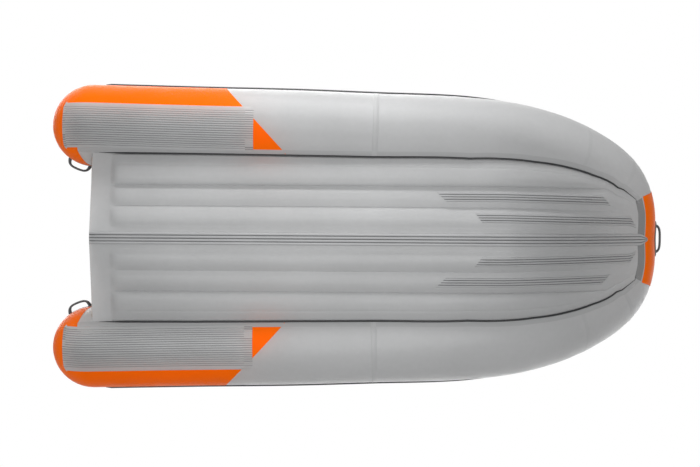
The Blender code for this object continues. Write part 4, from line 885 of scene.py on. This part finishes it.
for side, word in both_sides:
    end_ring = ring_at_x(patch_end_x)
    rings = [patch_aft_ring * (1 - i / 6) for i in range(6)] + rows_between(0.0, end_ring, 0.05)
    outer, inner = [], []
    for i, ring in enumerate(rings):
        row, under = [], []
        for share, high in patch_columns:
            angle = patch_outer_angle + share * (patch_inner_angle - patch_outer_angle)
            corner = max(0.0, 1 - min(share / 0.06, (1 - share) / 0.07))
            if ring < 0:
                turned = math.sin(math.radians(angle)) / math.cos(math.radians(90 * ring))
                angle = math.degrees(math.asin(turned))
            place = ring
            if i == len(rings) - 1:
                place = ring - ring_step(1, 0.022) * corner**2.2
            if i == 0:
                place = ring + 0.05 * corner**2.2
            height = patch_body + patch_rib * high
            if i in (0, len(rings) - 1) or share in (0.0, 1.0):
                height = patch_body * 0.5
            row.append(tube_place(place, angle, patch_lift + height, side))
            under.append(tube_place(place, angle, patch_lift - patch_glue, side))
        outer.append(row)
        inner.append(under)
    wear = add_wall(word + "_wear_patch_ribbed", outer, inner, wear_rubber, sharp=40)
    grooves = [patch_plain_share + width * (i + 0.20) for i in range(patch_rib_count)]
    # Darker rubber on the groove bottoms is painted shade.
    paint_groove_shade(wear, wear_groove_painted_shade, grooves, 0.16 / patch_rib_count)
    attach(wear, "hull")
    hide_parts(word + "_wear_patch")


# ---- Keel guard and bow strakes: extruded rubber strip with four ribs ----
# The guard runs from the transom along the keel, over the nose to a point; two shorter
# strips each side protect the floor's chambers near the bow.

strip_rubber = rubber_material("strip_rubber", (0.400, 0.403, 0.408), rough=0.5, worn=0.6)
# The groove rubber is darker to paint the shade in the strips' grooves between the ribs.
strip_groove_painted_shade = rubber_material("strip_groove_painted_shade", (0.15, 0.152, 0.155), rough=0.7, worn=0.3)
guard_width = 0.07
guard_thickness = 0.005
strake_width = 0.054
strake_thickness = 0.005
strake_rows = 44
strip_ribs = 4


def strip_profile(width, thickness):
    """Across and height of a strip with round-shouldered ribs, edge to edge."""
    pitch = width / strip_ribs
    points = [(-width / 2, 0.0)]
    for i in range(strip_ribs):
        middle = -width / 2 + (i + 0.5) * pitch
        points += [(middle + pitch * a, thickness * h)
                   for a, h in ((-0.35, 0.62), (-0.29, 0.92), (-0.14, 1.0), (0.14, 1.0),
                                (0.29, 0.92), (0.35, 0.62))]
        if i < strip_ribs - 1:
            points += [(middle + pitch * a, thickness * 0.30) for a in (0.41, 0.59)]
    points.append((width / 2, 0.0))
    return points


guard_line = [(x, keel_height(x))
              for x in np.linspace(floor_start_x + 0.001, front_edge[0] - 0.004, 90)]
for angle in np.linspace(-24.5, -41.5, 14):
    x, _, z = tube_place(nose_ring, angle, panel_lift + 0.0002)
    guard_line.append((x, z))
guard_widths = [1.0] * 90 + [1, 0.98, 0.95, 0.90, 0.84, 0.78, 0.71, 0.64, 0.56, 0.47, 0.38, 0.28,
                             0.17, 0.05]
profile = strip_profile(guard_width, guard_thickness)
outer, inner = [], []
for i, (x, z) in enumerate(guard_line):
    before, after = guard_line[max(i - 1, 0)], guard_line[min(i + 1, len(guard_line) - 1)]
    along = Vector((after[0] - before[0], 0, after[1] - before[1])).normalized()
    down = np.array((along.z, 0, -along.x))
    end = 0.35 if i in (0, len(guard_line) - 1) else 1.0
    outer.append([np.array((x, across * guard_widths[i], z)) + down * (0.0001 + height * end)
                  for across, height in profile])
    inner.append([np.array((x, across * guard_widths[i], z)) - down * 0.0005
                  for across, height in profile])
guard = add_wall("keel_guard_strip", outer, inner, strip_rubber, sharp=50)
# Darker rubber on the groove bottoms is painted shade.
paint_groove_shade(guard, strip_groove_painted_shade, (0.25, 0.5, 0.75), 0.032)
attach(guard, "hull")
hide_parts("keel_guard")


seam_rings = np.linspace(0, 12, 241)
seam_line = np.array([tube_place(ring, along_rings(seam_angles, ring), floor_lift)
                      for ring in seam_rings])


def chamber_place(chamber, x, across):
    """A point on the crown of a floor chamber."""
    edge = [np.interp(x, seam_line[:, 0], seam_line[:, i]) for i in range(3)]
    keel = keel_height(x)
    lines = crease_lines(x, edge[1])
    low, high = lines[chamber], lines[chamber + 1]
    y = (low + high) / 2 + across
    t = (y - low) / (high - low)
    swell = along_rings(swell_shares, np.interp(x, seam_line[:, 0], seam_rings))
    wide = min(1.0, (high - low) / full_chamber)
    bulge = swell * chamber_swell * 4 * t * (1 - t) * wide
    return np.array((x, y, keel + (edge[2] - keel) * y / edge[1] - bulge))


strake_ends = {"outer": (1, 0.44115, 1.41545), "inner": (0, 0.65215, 1.59545)}
strake_skews = {"outer": 0.055, "inner": 0.04}
profile = strip_profile(strake_width, strake_thickness)
for kind, (chamber, start, end) in strake_ends.items():
    for side, word in both_sides:
        outer, inner = [], []
        for i in range(strake_rows):
            share = i / (strake_rows - 1)
            row, under = [], []
            for across, height in profile:
                skew = strake_skews[kind] * across / strake_width
                x = start + (end - start) * share
                x -= skew * (1 - min(1.0, 6 * min(share, 1 - share)))
                here = chamber_place(chamber, x, across)
                ahead = chamber_place(chamber, x + 0.01, across)
                beside = chamber_place(chamber, x, across + 0.004)
                out = np.cross(ahead - here, beside - here)
                out /= np.linalg.norm(out)
                if out[2] > 0:
                    out = -out
                low_end = 0.4 if i in (0, strake_rows - 1) else 1.0
                row.append((here + out * (0.0003 + height * low_end)) * (1, side, 1))
                under.append((here - out * 0.0004) * (1, side, 1))
            outer.append(row)
            inner.append(under)
        strip = add_wall(f"{word}_{kind}_strake_strip", outer, inner, strip_rubber, sharp=50)
        # Darker rubber on the groove bottoms is painted shade.
        paint_groove_shade(strip, strip_groove_painted_shade, (0.25, 0.5, 0.75), 0.032)
        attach(strip, "hull")
        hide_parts(f"{word}_{kind}_strake")


# ---- Rub strake: a black rubber bead round the hull at its widest line ----
# An extruded D section glued to the tubes from near the stern panels right round the bow,
# climbing a little over the widest line at the raised nose.

bead_rubber = rubber_material("bead_rubber", (0.018, 0.018, 0.020), rough=0.38, worn=0.3)
rub_start_x = -1.52085
rub_half_width = 0.016
rub_height = 0.0096
rub_lift = 0.0014
rings = rows_between(ring_at_x(rub_start_x), 2 * nose_ring - ring_at_x(rub_start_x), 0.03)
bead_shape = [(-1, 0.0), (-1, 0.0028), (-0.86, 0.0052), (-0.62, 0.0082), (-0.3, rub_height),
              (0.3, rub_height), (0.62, 0.0082), (0.86, 0.0052), (1, 0.0028), (1, 0.0)]
bead = []
half = math.degrees(rub_half_width / tube_radius)
for i, ring in enumerate(rings):
    ahead = min(ring, 2 * nose_ring - ring)
    share = max(0.0, (ahead - joint_ring) / (nose_ring - joint_ring))
    climb = min(1.0, share / 0.4)
    climb = climb * climb * (3 - 2 * climb)
    centre = -91 - 23 * climb
    low_end = 0.45 if i in (0, len(rings) - 1) else 1.0
    bead.append([tube_place(ring, centre + across * half, rub_lift + height * low_end)
                 for across, height in bead_shape])
bead = add_shell("rub_strake_bead", bead, bead_rubber, sharp=50)
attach(bead, "hull")
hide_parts("rub_strake")


# ---- Fittings: handles, and the frame's transom, benches, rails, oarlocks and valves ----
# The handles are moulded loops on thin base plates. The others keep their frame shapes, with
# their real finishes, and the motor pads and benches get their bolts and screws.

handle_rubber = rubber_material("handle_rubber", (0.055, 0.058, 0.062), rough=0.45, worn=0.4)
black_plastic = rubber_material("black_plastic", (0.030, 0.030, 0.032), rough=0.40, worn=0.15,
                                grain_scale=900.0)
grey_plastic = rubber_material("grey_plastic", (0.30, 0.305, 0.31), rough=0.42, worn=0.2,
                               grain_scale=900.0)


def join_shells(name, shells):
    """Several closed shells as one piece of the first one's materials."""
    mesh = bmesh.new()
    for shell in shells:
        mesh.from_mesh(shell.data)
    data = bpy.data.meshes.new(name)
    mesh.to_mesh(data)
    mesh.free()
    data.materials.append(shells[0].data.materials[0])
    data.set_sharp_from_angle(angle=math.radians(40))
    for shell in shells:
        bpy.data.objects.remove(shell)
    return add_object(name, data)


def loop_handle(name, node, path, half_width, half_depth, pad_rings, pad_angles, side, thick):
    """A moulded grab handle: a smooth bar on a thin base plate that follows the tube."""
    path = [np.asarray(point) for point in path]
    rows = []
    for i, point in enumerate(path):
        going = path[min(i + 1, len(path) - 1)] - path[max(i - 1, 0)]
        going /= np.linalg.norm(going)
        flat = np.cross(going, (0, 0, 1))
        flat /= np.linalg.norm(flat)
        upright = np.cross(flat, going)
        foot = 1.0 + 0.7 * max(0.0, 1 - 6 * min(i, len(path) - 1 - i) / len(path))
        rows.append([point + half_width * foot * math.cos(a) * flat
                     + half_depth * foot * math.sin(a) * upright
                     for a in np.arange(0, 2 * math.pi, math.pi / 8)])
    bar = add_shell(name + "_bar", rows, handle_rubber)
    plates = []
    for height in (thick, 0.0):
        rows = []
        for i, ring in enumerate(np.linspace(*pad_rings, 25)):
            low = 0.3 if i in (0, 24) else 1.0
            row = []
            for j, angle in enumerate(np.linspace(*pad_angles, 13)):
                edge = low if 0 < j < 12 else 0.3
                corner = max(0.0, abs(i - 12) / 12 - 0.8) * 5 * max(0.0, abs(j - 6) / 6 - 0.6)
                middle = sum(pad_angles) / 2
                row.append(tube_place(ring, middle + (angle - middle) * (1 - 0.35 * corner),
                                      panel_lift + height * edge, side))
            rows.append(row)
        plates.append(rows)
    plate = add_wall(name + "_plate", plates[0], plates[1], handle_rubber, sharp=50)
    handle = join_shells(name, [bar, plate])
    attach(handle, "hull")
    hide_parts(node)


stern_grab_angle = 103.5
stern_grab_reach = 0.039
stern_ends = (ring_at_x(-1.7295), ring_at_x(-1.6162))
stern_plate_rings = (ring_at_x(-1.75385), ring_at_x(-1.59185))
handle_foot_lift = 0.006
bow_grab_tip_x = 1.8163
for side, word in both_sides:
    path = []
    for share in np.linspace(0, 1, 33):
        ring = stern_ends[0] + (stern_ends[1] - stern_ends[0]) * share
        out = 1 - abs(2 * share - 1) ** 5
        lift = panel_lift + handle_foot_lift + stern_grab_reach * out
        path.append(tube_place(ring, stern_grab_angle, lift, side))
    loop_handle(word + "_stern_grab", word + "_stern_handle", path, 0.0066, 0.0095,
                stern_plate_rings, (95, 112), side, 0.0036)

foot = tube_place(nose_ring, -90, panel_lift + handle_foot_lift)
reach = bow_grab_tip_x - foot[0]
path = []
for turn in np.linspace(0, math.pi, 33):
    across = -0.078 * math.copysign(abs(math.cos(turn)) ** 0.6, math.cos(turn))
    path.append(foot + np.array((reach * math.sin(turn) ** 0.6, across, 0)))
loop_handle("bow_grab", "bow_handle", path, 0.0070, 0.0095, (12.33, 13.67), (-104, -76), 1, 0.0075)


# Screw heads with washers, placed by Geometry Nodes on points that carry their direction.
screws = bpy.data.node_groups.new("screw_heads", "GeometryNodeTree")
screws.interface.new_socket("Geometry", in_out="INPUT", socket_type="NodeSocketGeometry")
for label, kind, value in (("Head Radius", "NodeSocketFloat", 0.006),
                           ("Head Height", "NodeSocketFloat", 0.004)):
    screws.interface.new_socket(label, in_out="INPUT", socket_type=kind).default_value = value
screws.interface.new_socket("Finish", in_out="INPUT", socket_type="NodeSocketMaterial")
screws.interface.new_socket("Geometry", in_out="OUTPUT", socket_type="NodeSocketGeometry")
given = add_node(screws, "NodeGroupInput")
washer = add_node(screws, "GeometryNodeMeshCylinder", {"Vertices": 28, "Depth": 0.0012})
head = add_node(screws, "GeometryNodeMeshCone", {"Vertices": 6})
for maker, label, share in ((washer, "Radius", 1.0), (head, "Radius Bottom", 0.62),
                            (head, "Radius Top", 0.55)):
    feed(maths("MULTIPLY", given.outputs["Head Radius"], share), maker, label)
link(given, "Head Height", head, "Depth")
both = add_node(screws, "GeometryNodeJoinGeometry")
link(washer, "Mesh", both, 0)
link(head, "Mesh", both, 0)
outward = add_node(screws, "GeometryNodeInputNamedAttribute", {"Name": "outward"},
                   data_type="FLOAT_VECTOR")
aim = add_node(screws, "FunctionNodeAlignRotationToVector", axis="Z")
link(outward, "Attribute", aim, "Vector")
put = add_node(screws, "GeometryNodeInstanceOnPoints")
link(given, "Geometry", put, "Points")
link(both, "Geometry", put, "Instance")
link(aim, "Rotation", put, "Rotation")
real = add_node(screws, "GeometryNodeRealizeInstances")
link(put, "Instances", real, "Geometry")
dress = add_node(screws, "GeometryNodeSetMaterial")
link(real, "Geometry", dress, "Geometry")
link(given, "Finish", dress, "Material")
done = add_node(screws, "NodeGroupOutput")
link(dress, "Geometry", done, "Geometry")


def struck_place(node_name, start, direction):
    """Where a straight line first meets a frame piece, and the way out of it there."""
    node = frame["nodes"][node_name]
    back = node.matrix_world.inverted()
    begin = back @ Vector(start)
    way = (back.to_3x3() @ Vector(direction)).normalized()
    hit, place, normal, face = node.ray_cast(begin, way)
    assert hit, node_name
    return node.matrix_world @ place, (node.matrix_world.to_3x3() @ normal).normalized()


def add_screws(name, body, strikes, radius, height, finish):
    places = [struck_place(*strike) for strike in strikes]
    data = bpy.data.meshes.new(name + "_points")
    data.from_pydata([place + normal * 0.0007 for place, normal in places], [], [])
    ways = data.attributes.new("outward", "FLOAT_VECTOR", "POINT")
    ways.data.foreach_set("vector", [value for place, normal in places for value in normal])
    holder = add_object(name + "_points", data)
    made = holder.modifiers.new("screws", "NODES")
    made.node_group = screws
    given = {"Head Radius": radius, "Head Height": height, "Finish": finish}
    for item in screws.interface.items_tree:
        if item.in_out == "INPUT" and item.name in given:
            made[item.identifier] = given[item.name]
    result = bpy.data.meshes.new_from_object(
        holder.evaluated_get(bpy.context.evaluated_depsgraph_get()))
    result.name = name
    bpy.data.objects.remove(holder)
    piece = add_object(name, result)
    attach(piece, body)


def grained_material(name, stretch, grain_values, relief, surface_values):
    """A surface with one stretched noise for its figure and relief, its roughness left open."""
    material, output = new_material(name)
    tree = material.node_tree
    where = add_node(tree, "ShaderNodeTexCoord")
    mapped = add_node(tree, "ShaderNodeMapping", {"Scale": stretch})
    link(where, "Object", mapped, "Vector")
    grain = add_node(tree, "ShaderNodeTexNoise", grain_values)
    link(mapped, 0, grain, "Vector")
    surface = add_node(tree, "ShaderNodeBsdfPrincipled", surface_values)
    bump = add_node(tree, "ShaderNodeBump", {"Distance": relief, "Strength": 0.4})
    link(grain, "Fac", bump, "Height")
    link(bump, "Normal", surface, "Normal")
    link(surface, "BSDF", output, "Surface")
    return material, grain, surface


def metal_material(name, colour, rough):
    material, brush, surface = grained_material(
        name, (20.0, 400.0, 400.0), {"Scale": 2.0, "Detail": 5.0}, 0.00005,
        {"Base Color": (*colour, 1), "Metallic": 1.0})
    brushed = maths("MULTIPLY", brush.outputs["Fac"], 0.2)
    feed(maths("ADD", brushed, rough - 0.1), surface, "Roughness")
    return material


plywood, figure, surface = grained_material(
    "plywood", (9.0, 1.1, 14.0), {"Scale": 4.0, "Detail": 9.0, "Roughness": 0.62,
                                  "Distortion": 1.3}, 0.0003,
    {"Coat Weight": 0.5, "Coat Roughness": 0.12})
ramp = add_node(plywood.node_tree, "ShaderNodeValToRGB")
for stop, place, colour in ((0, 0.32, (0.24, 0.115, 0.045, 1)), (1, 0.68, (0.52, 0.31, 0.14, 1))):
    ramp.color_ramp.elements[stop].position = place
    ramp.color_ramp.elements[stop].color = colour
link(figure, "Fac", ramp, "Fac")
link(ramp, "Color", surface, "Base Color")
rough = maths("ADD", maths("MULTIPLY", figure.outputs["Fac"], 0.2), 0.3)
feed(rough, surface, "Roughness")
aluminium = metal_material("aluminium", (0.62, 0.63, 0.64), 0.35)
steel = metal_material("steel", (0.58, 0.58, 0.57), 0.22)
finishes = {
    "varnished_plywood": plywood, "anodised_aluminium": aluminium, "stainless_steel": steel,
    "black_plastic": black_plastic, "grey_plastic": grey_plastic,
    "dark_handle_rubber": handle_rubber, "black_rubber": bead_rubber,
    "web_fabric": bulkhead_cloth,
}
for part in frame["record"]["subparts"]:
    node = frame["nodes"][part["node"]]
    finish = finishes.get(part["material_slot"])
    if finish:
        node.data.materials.clear()
        node.data.materials.append(finish)


strikes = [(pad, (x, y, z), (way, 0, 0)) for pad, x, way in (("outer_motor_pad", -1.75, 1),
                                                              ("inner_motor_pad", -1.40, -1))
           for y in (-0.105, 0.105) for z in (0.280, 0.390)]
add_screws("motor_pad_bolts", "hull", strikes, 0.0085, 0.0052, steel)
for kind in ("aft", "fore"):
    low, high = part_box(kind + "_bench_port_hanger")
    along, across = (low[0] + high[0]) / 2, (low[1] + high[1]) / 2
    strikes = [(kind + "_bench", (along + x, side * across, 0.60), (0, 0, -1))
               for side in (-1, 1) for x in (-0.03, 0.03)]
    add_screws(kind + "_bench_screws", kind + "_bench_group", strikes, 0.0055, 0.0026, steel)
